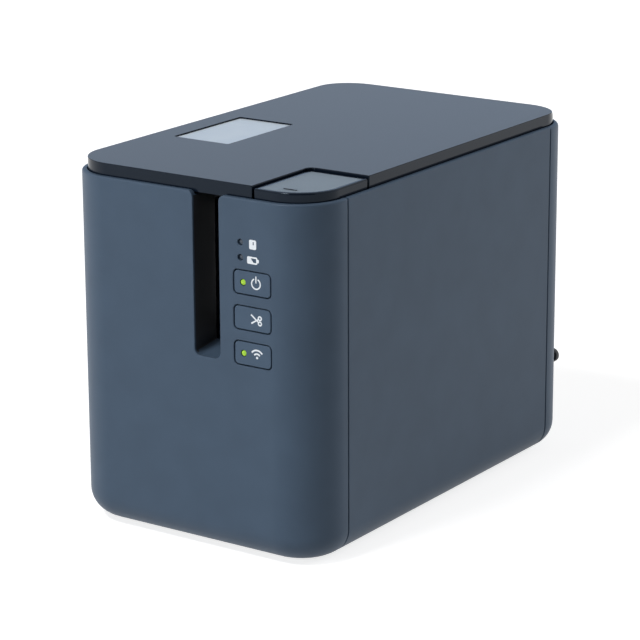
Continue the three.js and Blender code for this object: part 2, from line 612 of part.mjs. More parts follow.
function mechanismFrame() {
  const deckRear = BAY_Y1 + 4;
  const outline = [
    [BAY_X0 - 2, deckRear], [BAY_X0 - 2, BAY_Y0], [MOTOR_AT[0] - MOTOR_R - 3, FRONT_Y + 12],
    [SLOT_X - 15, FRONT_Y + 12], [SLOT_X - 15, CUTTER_Y + 5], [BAY_X1 + 2, CUTTER_Y + 5],
    [BAY_X1 + 2, deckRear]];
  let form = prismZ(outline, DECK_FOOT, DECK_TOP);
  for (const at of LEGS) {
    form = join(form, rodZ(at, LEG_R, LEG_FOOT, DECK_FOOT + 0.5));
    form = cut(form, rodZ(at, SCREW_R + CLEAR, LEG_FOOT - 1, LEG_FOOT + 9, 8));
  }
  for (const at of STANDOFFS) {
    form = join(form, rodZ(at, 3, DECK_TOP - 0.5, BAY_UNDER - CLEAR, 8));
  }
  const post = (at, top) => join(
    rodZ(at, POST_R, DECK_TOP - 0.5, top),
    rodZ(at, POST_R + 1.6, DECK_TOP - 0.5, LOW_GEAR_Z - CLEAR));
  form = join(form, post(REDUCTION_AT, HIGH_GEAR_Z + GEAR_W + 0.8),
    post(IDLER_AT, HIGH_GEAR_Z - CLEAR), post(RIBBON_AT, BAY_FLOOR + 9));
  form = cut(form, rodZ(MOTOR_AT, 4.2, DECK_FOOT - 1, DECK_TOP + 1));
  const pivotBoss = rodZ(PIVOT_AT, POST_R + 2.2, DECK_TOP - 0.5, BAY_UNDER - CLEAR);
  form = join(form, pivotBoss);
  form = cut(form, rodZ(PIVOT_AT, POST_R + 0.2, DECK_TOP, BAY_FLOOR));
  place('mechanism_frame', form, 'zinc');
  place('holder_pivot_pin', rodZ(PIVOT_AT, POST_R, DECK_TOP + CLEAR, PANEL_FOOT - 1), 'steel');
}

const bored = (form, at, z0, z1, radius = POST_R) =>
  cut(form, rodZ(at, radius + BORE_GAP, z0 - 1, z1 + 1));

function feedTrain() {
  const [low, high] = [LOW_GEAR_Z, HIGH_GEAR_Z];
  const big = prismZ(gearOutline(REDUCTION_TEETH, MODULE, 0, REDUCTION_AT), high, high + GEAR_W);
  const web = cut(rodZ(REDUCTION_AT, pitchRadius(REDUCTION_TEETH) - 2.6, high + 2.2, high + GEAR_W + 1),
    rodZ(REDUCTION_AT, 5, high, high + GEAR_W + 2));
  const small = prismZ(gearOutline(REDUCTION_PINION_TEETH, MODULE, SMALL_PHASE, REDUCTION_AT),
    low, high + 0.5);
  place('reduction_gear', bored(join(cut(big, web), small), REDUCTION_AT, low, high + GEAR_W), 'acetal');

  const idler = prismZ(gearOutline(IDLER_TEETH, MODULE, IDLER_PHASE, IDLER_AT), low, low + GEAR_W);
  place('idler_gear', bored(idler, IDLER_AT, low, low + GEAR_W), 'acetal');

  const ribbon = prismZ(gearOutline(RIBBON_TEETH, MODULE, RIBBON_PHASE, RIBBON_AT), low, low + GEAR_W);
  const spindleTop = BAY_FLOOR + 30;
  let spindle = join(ribbon, rodZ(RIBBON_AT, 3.2, low, BAY_FLOOR),
    rodZ(RIBBON_AT, 3.6, BAY_FLOOR - 0.5, spindleTop - 3));
  const nose = new THREE.CylinderGeometry(2.2, 3.6, 3, FACETS).rotateX(Math.PI / 2);
  spindle = join(spindle, solid(nose.translate(...RIBBON_AT, spindleTop - 1.5)));
  const splines = 6;
  for (let i = 0; i < splines; i += 1) {
    const angle = (i / splines) * 2 * Math.PI;
    const spline = new THREE.BoxGeometry(1.2, 1, 18).translate(3.7, 0, 0).rotateZ(angle);
    spindle = join(spindle, solid(spline.translate(...RIBBON_AT, BAY_FLOOR + 16)));
  }
  spindle = cut(spindle, rodZ(RIBBON_AT, POST_R + BORE_GAP, low - 1, BAY_FLOOR + 10));
  place('ribbon_spindle', spindle, 'acetal');

  const pinion = prismZ(gearOutline(PINION_TEETH, MODULE, PINION_PHASE, MOTOR_AT), high, high + GEAR_W);
  const shaft = rodZ(MOTOR_AT, 1.5, DECK_FOOT - 1.2, high + GEAR_W);
  place('motor_pinion', join(pinion, shaft, rodZ(MOTOR_AT, 2.6, low, high + 0.5)), 'steel');

  const motorTop = DECK_FOOT - CLEAR;
  let motor = join(
    rodZ(MOTOR_AT, MOTOR_R, motorTop - MOTOR_L, motorTop, FINE_FACETS),
    rodZ(MOTOR_AT, 4, motorTop - 0.5, DECK_TOP - 0.4),
    rodZ(MOTOR_AT, 5, motorTop - MOTOR_L - 1.5, motorTop - MOTOR_L + 0.5));
  motor = cut(motor, rodZ(MOTOR_AT, 1.5 + BORE_GAP, DECK_FOOT - 1.6, DECK_TOP + 1));
  place('feed_motor', motor, 'zinc');
}

// ---------------------------------------------------------------- roller holder

function rollerHolder() {
  const foot = BAY_FLOOR + 2;
  const top = ROLLER_Z + ROLLER_L + 1;
  const wallX = PLATEN_X + PLATEN_R + 1;
  const front = FEED_AT[1] - FEED_ROLLER_R - 1.2;
  const pivotR = POST_R + 2.4;
  const outline = [
    [PLATEN_X - 3.6, front], [wallX + 2, front], [wallX + 2, PIVOT_AT[1] - 4],
    [PIVOT_AT[0] + 3, PIVOT_AT[1] + 2], [PLATEN_X - 3.6, PIVOT_AT[1]]];
  const plate = (z) => prismZ(outline, z, z + HOLDER_PLATE);
  let form = join(plate(foot), plate(top), rodZ(PIVOT_AT, pivotR, foot, top + HOLDER_PLATE),
    box(wallX, wallX + 2, front, PIVOT_AT[1] - 4, foot, top + HOLDER_PLATE));
  // lightening windows in the back wall
  for (const z of [foot + 9, foot + 27]) {
    form = cut(form, box(wallX - 1, wallX + 3, front + 20, PIVOT_AT[1] - 10, z, z + 12));
  }
  form = cut(form, rodZ(PIVOT_AT, POST_R + BORE_GAP, foot - 1, top + HOLDER_PLATE + 1));
  for (const at of [PLATEN_AT, FEED_AT]) {
    form = cut(form, rodZ(at, ROLLER_SHAFT_R + BORE_GAP, foot - 1, top + HOLDER_PLATE + 1));
  }
  place('roller_holder', form, 'acetal');

  const shaftTop = top + HOLDER_PLATE + 0.8;
  const collar = rodZ(PLATEN_AT, 2.6, foot + HOLDER_PLATE + CLEAR, ROLLER_Z - 0.2);
  place('platen_shaft', join(rodZ(PLATEN_AT, ROLLER_SHAFT_R, LOW_GEAR_Z, shaftTop), collar), 'steel');
  place('platen_roller', bored(rodZ(PLATEN_AT, PLATEN_R, ROLLER_Z, ROLLER_Z + ROLLER_L), PLATEN_AT,
    ROLLER_Z, ROLLER_Z + ROLLER_L, ROLLER_SHAFT_R - 0.2), 'rubber');
  const gear = prismZ(gearOutline(PLATEN_TEETH, MODULE, PLATEN_PHASE, PLATEN_AT),
    LOW_GEAR_Z, LOW_GEAR_Z + GEAR_W);
  place('platen_gear', bored(join(gear, rodZ(PLATEN_AT, 3.4, LOW_GEAR_Z, LOW_GEAR_Z + 6)), PLATEN_AT,
    LOW_GEAR_Z, LOW_GEAR_Z + 6, ROLLER_SHAFT_R - 0.2), 'acetal');

  const grooves = 2;
  let feed = rodZ(FEED_AT, ROLLER_SHAFT_R, foot - 0.4, shaftTop);
  const pitch = (ROLLER_L + 1) / grooves;
  for (let i = 0; i < grooves; i += 1) {
    const z = ROLLER_Z + i * pitch;
    feed = join(feed, rodZ(FEED_AT, FEED_ROLLER_R, z, z + pitch - 1.6),
      rodZ(FEED_AT, FEED_ROLLER_R - 0.8, z - 0.2, z + pitch - 1.2));
  }
  place('feed_roller', feed, 'dark');
}

// ---------------------------------------------------------------- print head

function printHead() {
  const face = PLATEN_X - PLATEN_R - CLEAR;
  const [y0, y1] = [PLATEN_AT[1] - 10, PLATEN_AT[1] + 10];
  const plateX = face - 1.6;
  let sink = join(box(plateX - 3, plateX, y0, y1, BAY_FLOOR + CLEAR, ROLLER_Z + ROLLER_L + 1),
    box(plateX - 11, plateX, y0, y1, BAY_FLOOR + CLEAR, BAY_FLOOR + 2));
  for (let i = 0; i < 3; i += 1) {
    const y = y0 + 3 + i * 7;
    sink = join(sink, prismY([[plateX - 8, BAY_FLOOR + 1], [plateX - 2, BAY_FLOOR + 1],
      [plateX - 2, BAY_FLOOR + 9]], y - 0.6, y + 0.6));
  }
  place('head_heat_sink', sink, 'aluminium');
  const strip = box(plateX + 0.1, face, PLATEN_AT[1] - 4.5, PLATEN_AT[1] + 4.5,
    ROLLER_Z - 1, ROLLER_Z + ROLLER_L);
  place('print_head', strip, 'ceramic');
}

// ---------------------------------------------------------------- cutter

const PLATE_FRONT = CUTTER_Y + 1.6;

function cutter() {
  const [px, pz] = CUTTER_AT;
  const [mx, mz] = CUTTER_PINION_AT;
  const uprightTop = PANEL_FOOT - 1;
  const outline = [
    [px - 11, pz - 12], [px - 1, mz - CUTTER_MOTOR_R - 3], [mx + CUTTER_MOTOR_R + 3, mz - CUTTER_MOTOR_R - 3],
    [mx + CUTTER_MOTOR_R + 3, pz + 4], [px + 14, pz + 12], [px + 14, uprightTop], [px + 8, uprightTop],
    [px + 8, BAY_FLOOR + 1], [px - 6, BAY_FLOOR + 1], [px - 6, uprightTop], [px - 13, uprightTop],
    [px - 13, pz - 4]];
  let plate = prismY(outline, PLATE_FRONT, PLATE_FRONT + CUTTER_PLATE);
  const flange = box(px - 8, mx + 8, PLATE_FRONT + 0.2, PLATE_FRONT + 12, DECK_FOOT - 1.7, DECK_FOOT - CLEAR);
  plate = join(plate, cut(flange, rodY([mx, mz], CUTTER_MOTOR_R + CLEAR, PLATE_FRONT, PLATE_FRONT + 13)));
  const pivotSeat = rodY([px, pz], 1.8 + 0.15, PLATE_FRONT - 1, PLATE_FRONT + 3);
  const shaftHole = rodY([mx, mz], 2.4, PLATE_FRONT - 1, PLATE_FRONT + 3);
  place('cutter_frame', cut(plate, pivotSeat, shaftHole), 'steel');

  const bladeY = PLATE_FRONT - CLEAR - 2 * BLADE_T - 0.3;
  const pin = join(rodY([px, pz], 1.8, bladeY - 1, PLATE_FRONT + CUTTER_PLATE + 0.4),
    rodY([px, pz], 3.4, bladeY - 1.4, bladeY - 0.3));
  place('cutter_pivot', pin, 'steel');

  const fixedY = PLATE_FRONT - 0.1 - BLADE_T;
  const fixed = prismY([[px - 9, BAY_FLOOR + 3], [px - 1.2, BAY_FLOOR + 3], [px - 0.5, BAY_FLOOR + 5],
    [px - 0.5, uprightTop - 2], [px - 9, uprightTop - 2]], fixedY, fixedY + BLADE_T);
  place('fixed_blade', fixed, 'steel');

  // moving blade, drawn shut and then swung open about its pivot
  const hub = 5.5;
  const sectorR = pitchRadius(SECTOR_TEETH, CUTTER_MODULE);
  const openAngle = (-BLADE_OPEN_DEG * Math.PI) / 180;
  const swing = ([x, z]) => {
    const [dx, dz] = [x - px, z - pz];
    return [px + dx * Math.cos(openAngle) - dz * Math.sin(openAngle),
      pz + dx * Math.sin(openAngle) + dz * Math.cos(openAngle)];
  };
  const blade = [[px - 1, pz + 3], [px + hub, pz + 1], [px + BLADE_W, pz + 14],
    [px + BLADE_W, pz + BLADE_L - 6], [px + 3, pz + BLADE_L], [px - 1, pz + BLADE_L - 2]].map(swing);
  const sectorPhase = meshedPhase(
    CUTTER_DIRECTION + Math.PI, CUTTER_PINION_TEETH, 0, SECTOR_TEETH, CUTTER_MODULE);
  const wheel = prismY(gearOutline(SECTOR_TEETH, CUTTER_MODULE, sectorPhase, CUTTER_AT, 0.2),
    bladeY, bladeY + BLADE_T);
  const reach = sectorR + 3;
  const spread = (34 * Math.PI) / 180;
  const wedge = prismY([[px, pz], polar([px, pz], reach / Math.cos(spread), CUTTER_DIRECTION - spread),
    polar([px, pz], reach / Math.cos(spread), CUTTER_DIRECTION + spread)], bladeY - 1, bladeY + BLADE_T + 1);
  let moving = join(prismY(blade, bladeY, bladeY + BLADE_T), wheel.intersect(wedge),
    rodY([px, pz], hub, bladeY, bladeY + BLADE_T));
  moving = cut(moving, rodY([px, pz], 1.8 + BORE_GAP, bladeY - 1, bladeY + BLADE_T + 1));
  place('moving_blade', moving, 'steel');

  const pinionY = bladeY - 0.9;
  const pinion = join(
    prismY(gearOutline(CUTTER_PINION_TEETH, CUTTER_MODULE, 0, CUTTER_PINION_AT, 0.2),
      pinionY, PLATE_FRONT - CLEAR),
    rodY([mx, mz], 1.6, pinionY + 0.5, PLATE_FRONT + CUTTER_PLATE + 1.6));
  place('cutter_pinion', pinion, 'acetal');
  const motorY = PLATE_FRONT + CUTTER_PLATE + CLEAR;
  const motor = cut(join(rodY([mx, mz], CUTTER_MOTOR_R, motorY, motorY + CUTTER_MOTOR_L, FINE_FACETS),
    rodY([mx, mz], 3.2, motorY + CUTTER_MOTOR_L - 0.5, motorY + CUTTER_MOTOR_L + 2)),
  rodY([mx, mz], 1.6 + BORE_GAP, motorY - 1, motorY + 2.2));
  place('cutter_motor', motor, 'zinc');
}

// ---------------------------------------------------------------- tape bay

const STEM_AT = [SIDE_X - 15, CUTOUT_Y - BUTTON_GAP - 10.7];
const LATCH_PIVOT = [CUTOUT_Y + 3.7, BODY_H - 22]; // (y, z)
const LATCH_X = [SIDE_X - 19.3, SIDE_X - 10.7];
const LATCH_PIN_R = 1.2;
const CATCH_Y = CUTOUT_Y + 6.6;
const HOOK_TOP = LID_FOOT_Z - 0.4;


function cassetteBay() {
  const inset = WALL + 2 * CLEAR;
  const panel = loft([bodyRing(inset, PANEL_FOOT, COARSE_STEPS), bodyRing(inset, PANEL_TOP, COARSE_STEPS)]);
  const outer = box(BAY_X0 - BAY_WALL, BAY_X1 + BAY_WALL, BAY_Y0 - BAY_WALL, BAY_Y1 + BAY_WALL,
    BAY_UNDER, PANEL_FOOT + 0.5);
  const well = prismZ(roundRect(BAY_X0, BAY_X1, BAY_Y0, BAY_Y1, 3), BAY_FLOOR, PANEL_TOP + 1, 3);
  let form = cut(join(panel, outer), well);
  // the tape's way out, open at the top
  const tapeX0 = SLOT_X - TAPE_GAP / 2;
  form = cut(form, box(tapeX0, tapeX0 + TAPE_GAP, FRONT_Y - 1, BAY_Y0 + 1, BAY_FLOOR + 1, PANEL_TOP + 1));
  // clearance over the chute and the cutter
  form = cut(form, box(SLOT_X0 - CHUTE_WALL - 0.5, SLOT_X1 + CHUTE_WALL + 0.5, FRONT_Y - 1,
    CHUTE_REAR + 0.5, BAY_FLOOR, PANEL_TOP + 1));
  // shafts that come up through the floor
  const through = (at, radius) => rodZ(at, radius, BAY_UNDER - 1, BAY_FLOOR + 1);
  form = cut(form, through(RIBBON_AT, 5), through(PIVOT_AT, POST_R + 0.4));
  const swing = (HOLDER_PIVOT_Y - PLATEN_Y) * Math.sin((HOLDER_OPEN_DEG * Math.PI) / 180);
  form = cut(form, through(PLATEN_AT, 4.2), through([PLATEN_AT[0] + swing, PLATEN_AT[1]], 4.2),
    box(PLATEN_AT[0], PLATEN_AT[0] + swing, PLATEN_AT[1] - 4.1, PLATEN_AT[1] + 4.1,
      BAY_UNDER - 1, BAY_FLOOR + 1));
  // opening for the tape-width sensor
  form = cut(form, box(...SENSOR.map((v, i) => v + (i % 2 ? CLEAR : -CLEAR)), BAY_UNDER - 1, BAY_FLOOR + 1));
  // hinge lugs
  for (const side of [-1, 1]) {
    const [x0, x1] = [side * HINGE_X - HINGE_LUG_W / 2, side * HINGE_X + HINGE_LUG_W / 2];
    const lug = join(rodX([HINGE_Y, HINGE_Z], HINGE_LUG_R, x0, x1),
      box(x0, x1, HINGE_Y - HINGE_LUG_R, HINGE_Y + HINGE_LUG_R * 0.4, PANEL_TOP - 0.5, HINGE_Z));
    form = join(form, lug);
    form = cut(form, rodX([HINGE_Y, HINGE_Z], HINGE_PIN_R + 0.1, x0 - 1, x1 + 1));
  }
  // button stem guide, latch window and latch lugs
  form = cut(form, rodZ(STEM_AT, 2.5 + CLEAR, PANEL_FOOT - 1, PANEL_TOP + 1));
  form = cut(form, box(LATCH_X[0] - 0.6, LATCH_X[1] + 0.6, LATCH_PIVOT[0] - 7, LATCH_PIVOT[0] + 5.5,
    PANEL_FOOT - 1, PANEL_TOP + 1));
  for (const x0 of [LATCH_X[0] - 2.6, LATCH_X[1] + 0.4]) {
    const lug = prismX(roundRect(LATCH_PIVOT[0] - 3.4, LATCH_PIVOT[0] + 3.4, LATCH_PIVOT[1] - 3.4,
      PANEL_FOOT + 0.5, [3.3, 3.3, 0, 0]), x0, x0 + 2.2, 4);
    form = join(form, lug);
    form = cut(form, rodX(LATCH_PIVOT, LATCH_PIN_R + 0.1, x0 - 1, x0 + 3.2));
  }
  // raised cassette seats on the bay floor
  for (const at of [[BAY_X0 + 5, BAY_Y0 + 7], [BAY_X0 + 5, BAY_Y1 - 7], [BAY_X1 - 20, BAY_Y1 - 7]]) {
    form = join(form, rodZ(at, 2.5, BAY_FLOOR - 0.5, BAY_FLOOR + 3));
  }
  place('cassette_bay', form, 'bay');
}

const SENSOR = [BAY_X0 + 9, BAY_X0 + 25, BAY_Y0 + 70, BAY_Y0 + 77]; // x0, x1, y0, y1

/** Row of small plungers that feel which tape width is fitted. */
function tapeSensor() {
  const [x0, x1, y0, y1] = SENSOR;
  let form = box(x0, x1, y0, y1, DECK_TOP + CLEAR, BAY_FLOOR - 0.4);
  const plungers = 5;
  for (let i = 0; i < plungers; i += 1) {
    const at = [x0 + ((i + 0.5) / plungers) * (x1 - x0), (y0 + y1) / 2];
    form = join(form, rodZ(at, 0.9, BAY_FLOOR - 1, BAY_FLOOR + 2.2, 10));
  }
  place('tape_sensor', form, 'dark');
}

// ---------------------------------------------------------------- lid

/** Corner taken out of the lid for the release button, grown by grow. */
const cutoutPrism = (grow, z0, z1) => prismZ(
  roundRect(CUTOUT_X - grow, everywhere, -everywhere, CUTOUT_Y + grow, [0, 0, 0, 3 + grow]), z0, z1, 6);

function topCover() {
  const inset = LID_INSET;
  const outer = loft([
    bodyRing(inset, LID_FOOT_Z), bodyRing(inset, BODY_H - LID_BEVEL),
    bodyRing(inset + LID_BEVEL * 0.3, BODY_H - LID_BEVEL * 0.3), bodyRing(inset + LID_BEVEL, BODY_H)]);
  const roundRear = new THREE.Shape();
  roundRear.moveTo(-everywhere, LID_FOOT_Z - 1);
  roundRear.lineTo(HINGE_Y, LID_FOOT_Z - 1);
  roundRear.lineTo(HINGE_Y, HINGE_Z - HINGE_R);
  roundRear.absarc(HINGE_Y, HINGE_Z, HINGE_R, -Math.PI / 2, Math.PI / 2, false);
  roundRear.lineTo(-everywhere, BODY_H);
  let form = outer.intersect(prismX(roundRear, -everywhere, everywhere, 8));
  const cavity = cut(
    loft([bodyRing(inset + LID_WALL, LID_FOOT_Z - 1), bodyRing(inset + LID_WALL, BODY_H - LID_SKIN)])
      .intersect(box(-everywhere, everywhere, -everywhere, HINGE_Y - HINGE_R - 0.4, 0, everywhere)),
    cutoutPrism(LID_WALL, LID_FOOT_Z - 2, BODY_H));
  form = cut(form, cavity, cutoutPrism(0, LID_FOOT_Z - 2, BODY_H + 1));
  // stiffening ribs under the lid
  const ribFoot = LID_FOOT_Z + 0.8;
  const ribTop = BODY_H - LID_SKIN + 0.5;
  const windowRear = FRONT_Y + WINDOW_FRONT + WINDOW_L;
  for (const y of [windowRear + 14, windowRear + 44]) {
    form = join(form, box(-SIDE_X + inset + 1, SIDE_X - inset - 1, y - 0.7, y + 0.7, ribFoot, ribTop));
  }
  form = join(form, box(-0.7, 0.7, FRONT_Y + inset + 1, HINGE_Y - 2, ribFoot, ribTop));
  // catch for the latch
  form = join(form, box(LATCH_X[0], LATCH_X[1], CATCH_Y, CATCH_Y + 2, HOOK_TOP - 1.6, ribTop));
  // window opening with its rebate
  const [x0, x1] = [WINDOW_X - WINDOW_W / 2, WINDOW_X + WINDOW_W / 2];
  const y0 = FRONT_Y + WINDOW_FRONT;
  const rebateFoot = BODY_H - WINDOW_SINK - WINDOW_PANE - 0.1;
  form = cut(form, prismZ(roundRect(x0, x1, y0, windowRear, 1), rebateFoot, BODY_H + 1, 3));
  form = cut(form, box(x0 + 1.4, x1 - 1.4, y0 + 1.4, windowRear - 1.4, LID_FOOT_Z - 1, BODY_H));
  // room for the hinge lugs under a thin skin, open to the rear, and the pin bores beside it
  const room = HINGE_LUG_R + CLEAR;
  const roomFront = HINGE_Y - HINGE_R - 0.4;
  for (const side of [-1, 1]) {
    const reach = HINGE_LUG_W / 2 + CLEAR + 0.1;
    const middle = side * HINGE_X;
    const [from, to] = [middle - reach, middle + reach];
    form = cut(form,
      rodX([HINGE_Y, HINGE_Z], room, from, to),
      box(from, to, roomFront, HINGE_Y, 0, HINGE_Z + room),
      box(from, to, HINGE_Y - 0.1, REAR_Y, 0, HINGE_Z),
      box(from, to, HINGE_Y + room * 0.7, REAR_Y, 0, HINGE_Z + room * 0.85),
      rodX([HINGE_Y, HINGE_Z], HINGE_PIN_R + BORE_GAP, middle - HINGE_PIN_L / 2 - 0.5,
        middle + HINGE_PIN_L / 2 + 0.5));
  }
  place('top_cover', form, 'lid');
  const pane = roundRect(x0 + 0.15, x1 - 0.15, y0 + 0.15, windowRear - 0.15, 0.9);
  place('viewer_window', prismZ(pane, BODY_H - WINDOW_SINK - WINDOW_PANE, BODY_H - WINDOW_SINK, 3), 'pane');
  for (const [name, side] of [['left', -1], ['right', 1]]) {
    const pin = rodX([HINGE_Y, HINGE_Z], HINGE_PIN_R, side * HINGE_X - HINGE_PIN_L / 2,
      side * HINGE_X + HINGE_PIN_L / 2);
    place(`hinge_pin_${name}`, pin, 'steel');
  }
}

// ---------------------------------------------------------------- release button and latch

function releaseButton() {
  const top = BODY_H - BUTTON_SINK;
  const outer = loft([
    bodyRing(LID_INSET, LID_FOOT_Z), bodyRing(LID_INSET, top - LID_BEVEL),
    bodyRing(LID_INSET + LID_BEVEL * 0.3, top - LID_BEVEL * 0.3), bodyRing(LID_INSET + LID_BEVEL, top)]);
  const region = (shrink) => prismZ(
    roundRect(CUTOUT_X + BUTTON_GAP + shrink, everywhere, -everywhere, CUTOUT_Y - BUTTON_GAP - shrink,
      [0, 0, 0, Math.max(2.4 - shrink, 0.4)]), 0, everywhere, 5);
  let form = outer.intersect(region(0));
  const hollow = loft([
    bodyRing(LID_INSET + LID_WALL, LID_FOOT_Z - 1), bodyRing(LID_INSET + LID_WALL, top - LID_SKIN)]);
  const cavity = hollow.intersect(region(LID_WALL));
  form = cut(form, cavity);
  const stemFoot = LATCH_PIVOT[1] + 2 + CLEAR;
  form = join(form, rodZ(STEM_AT, 2.5, stemFoot, top - LID_SKIN + 0.5));
  // raised bar that the finger finds
  const markX = CUTOUT_X + 13;
  const mark = roundRect(markX - 3, markX + 3, FRONT_Y + 7.9, FRONT_Y + 8.7, 0.35);
  form = join(form, prismZ(mark, top - 0.5, top + 0.3, 2));
  place('release_button', form, 'lid');
}

function releaseLatch() {
  const [py, pz] = LATCH_PIVOT;
  const armEnd = STEM_AT[1] - 2.5;
  const arm = prismX([[armEnd, pz - 0.6], [py, pz - 2.4], [py, pz + 2], [armEnd, pz + 2]],
    LATCH_X[0], LATCH_X[1]);
  const hook = prismX([
    [py - 1.5, pz], [py + 1.5, pz], [py + 1.5, HOOK_TOP - 3], [CATCH_Y - CLEAR, HOOK_TOP - 1.8],
    [py + 1, HOOK_TOP], [py - 1.5, HOOK_TOP]], LATCH_X[0], LATCH_X[1]);
  const hub = rodX([py, pz], 3, LATCH_X[0], LATCH_X[1]);
  const lever = cut(join(arm, hook, hub), rodX([py, pz], LATCH_PIN_R + BORE_GAP, 0, everywhere));
  place('latch_lever', lever, 'acetal');
  place('latch_pin', rodX([py, pz], LATCH_PIN_R, LATCH_X[0] - 2.6, LATCH_X[1] + 2.6), 'steel');
}

/** Compression spring round the button's stem, ends closed on the panel and under the button. */
function releaseSpring() {
  const wire = 0.35;
  const [low, high] = [PANEL_TOP + 0.2 + wire, BODY_H - BUTTON_SINK - LID_SKIN - 0.2 - wire];
  const turns = 3.5;
  const steps = Math.round(turns * 8);
  const points = Array.from({ length: steps + 1 }, (unused, i) => {
    const angle = (i / steps) * turns * 2 * Math.PI;
    return new THREE.Vector3(STEM_AT[0] + 3.6 * Math.cos(angle), STEM_AT[1] + 3.6 * Math.sin(angle),
      low + (i / steps) * (high - low));
  });
  const section = new THREE.Shape().absarc(0, 0, wire, 0, 2 * Math.PI, false);
  const coil = new THREE.ExtrudeGeometry(section, {
    steps, curveSegments: 3, bevelEnabled: false, extrudePath: new THREE.CatmullRomCurve3(points) });
  place('release_spring', solid(coil), 'steel');
}

// ---------------------------------------------------------------- control panel

function controlKeys() {
  const front = FRONT_Y + 0.1;
  const flangeFront = FRONT_Y + WALL + CLEAR;
  const switchFace = BOARD_Y - 4.2;
  KEY_NAMES.forEach((name, i) => {
    const z = KEY_Z[i];
    const cap = prismY(keyOutline(z, 0, KEY_R), front, flangeFront + 0.5, 3);
    const flange = prismY(keyOutline(z, KEY_FLANGE, 0.8), flangeFront, flangeFront + 1, 1);
    const stem = rodY([KEY_X + 2, z], 1.8, flangeFront + 0.5, switchFace - KEY_TRAVEL - 0.2);
    let form = join(cap, flange, stem);
    const lit = name !== 'feed_cut_key';
    if (lit) {
      const pipe = rodY([LED_X + 1, z], LED_R, front + 0.1, flangeFront + 1.6);
      form = cut(form, rodY([LED_X + 1, z], LED_R + 0.1, front - 1, flangeFront + 3));
      place(name.replace('_key', '_key_light'), pipe, 'light');
    }
    place(name, form, 'key');
  });
  for (const [name, z] of [['status_light', STATUS_Z], ['battery_light', BATTERY_Z]]) {
    const at = [LED_X, z];
    place(name, join(rodY(at, LED_R, FRONT_Y + 0.4, BOARD_Y - 1.4),
      rodY(at, LED_R + 0.9, FRONT_Y + WALL + 0.1, FRONT_Y + WALL + 1)), 'lens');
  }
}

function controlBoard() {
  const [x0, x1] = [KEY_X - 10.5, KEY_X + 11];
  const [z0, z1] = [KEY_Z[2] - 13, KEY_Z[0] + 18.8];
  let form = box(x0, x1, BOARD_Y, BOARD_Y + BOARD_T, z0, z1);
  for (const z of KEY_Z) {
    form = join(form, box(KEY_X - 1, KEY_X + 5, BOARD_Y - 3.5, BOARD_Y + 0.3, z - 3, z + 3),
      rodY([KEY_X + 2, z], 1.5, BOARD_Y - 4.2, BOARD_Y - 3));
  }
  for (const z of [KEY_Z[0], KEY_Z[2], STATUS_Z, BATTERY_Z]) {
    form = join(form, box(LED_X - 0.5, LED_X + 1.3, BOARD_Y - 0.9, BOARD_Y + 0.3, z - 0.8, z + 0.8));
  }
  form = join(form, box(x0 + 8, x0 + 18, BOARD_Y + BOARD_T - 0.3, BOARD_Y + BOARD_T + 4, z0 + 3, z0 + 7));
  for (const [x, z] of BOARD_BOSSES) form = cut(form, rodY([x, z], 1.3, BOARD_Y - 1, BOARD_Y + 3));
  place('control_board', form, 'board');
  BOARD_BOSSES.forEach(([x, z], i) => {
    const screw = join(rodY([x, z], 2.3, BOARD_Y + BOARD_T + 0.1, BOARD_Y + BOARD_T + 1.5),
      rodY([x, z], 0.7, BOARD_Y - 3, BOARD_Y + BOARD_T + 0.5, 10));
    place(`board_screw_${i + 1}`, screw, 'zinc');
  });
}

// ---------------------------------------------------------------- electronics

// parts on the main board: x, share of the board's depth, then their sizes
const CHIPS = [[-8, 0.37, 18, 18, 1.1], [-30, 0.41, 12, 8, 1.4], [12, 0.19, 8, 6, 1.4], [-8, 0.09, 26, 4, 6]];
const CAPACITORS = [[38, 0.64, 4, 12], [10, 0.49, 3.2, 8], [-34, 0.71, 3.2, 8]];
const SHIELD = [24, 42, 0.11, 0.41]; // wireless module: x0, x1, and from which to which share of the depth
const SOLDERED = 0.3; // parts run this far into the board

function mainBoard() {
  const [x0, x1, y0, y1, z0, z1] = MAIN_BOARD;
  const at = (share) => y0 + share * (y1 - y0);
  let form = prismZ(roundRect(x0, x1, y0, y1, [1, 1, 12, 12]), z0, z1, 3);
  for (const [x, share, wide, deep, high] of CHIPS) {
    form = join(form, box(x - wide / 2, x + wide / 2, at(share) - deep / 2, at(share) + deep / 2,
      z1 - SOLDERED, z1 + high));
  }
  for (const [x, share, radius, high] of CAPACITORS) {
    form = join(form, rodZ([x, at(share)], radius, z1 - SOLDERED, z1 + high));
  }
  place('main_board', form, 'board');
  const [sx0, sx1] = SHIELD;
  const [sy0, sy1] = SHIELD.slice(2).map(at);
  const shield = prismZ(roundRect(sx0, sx1, sy0, sy1, 1), z1 + CLEAR, z1 + 3.2, 2);
  const aerial = box(sx0 - 4, sx0 + 1, sy0 + 1, sy1 - 1, z1 + CLEAR, z1 + 1.3);
  place('wireless_module', join(shield, aerial), 'steel');
}

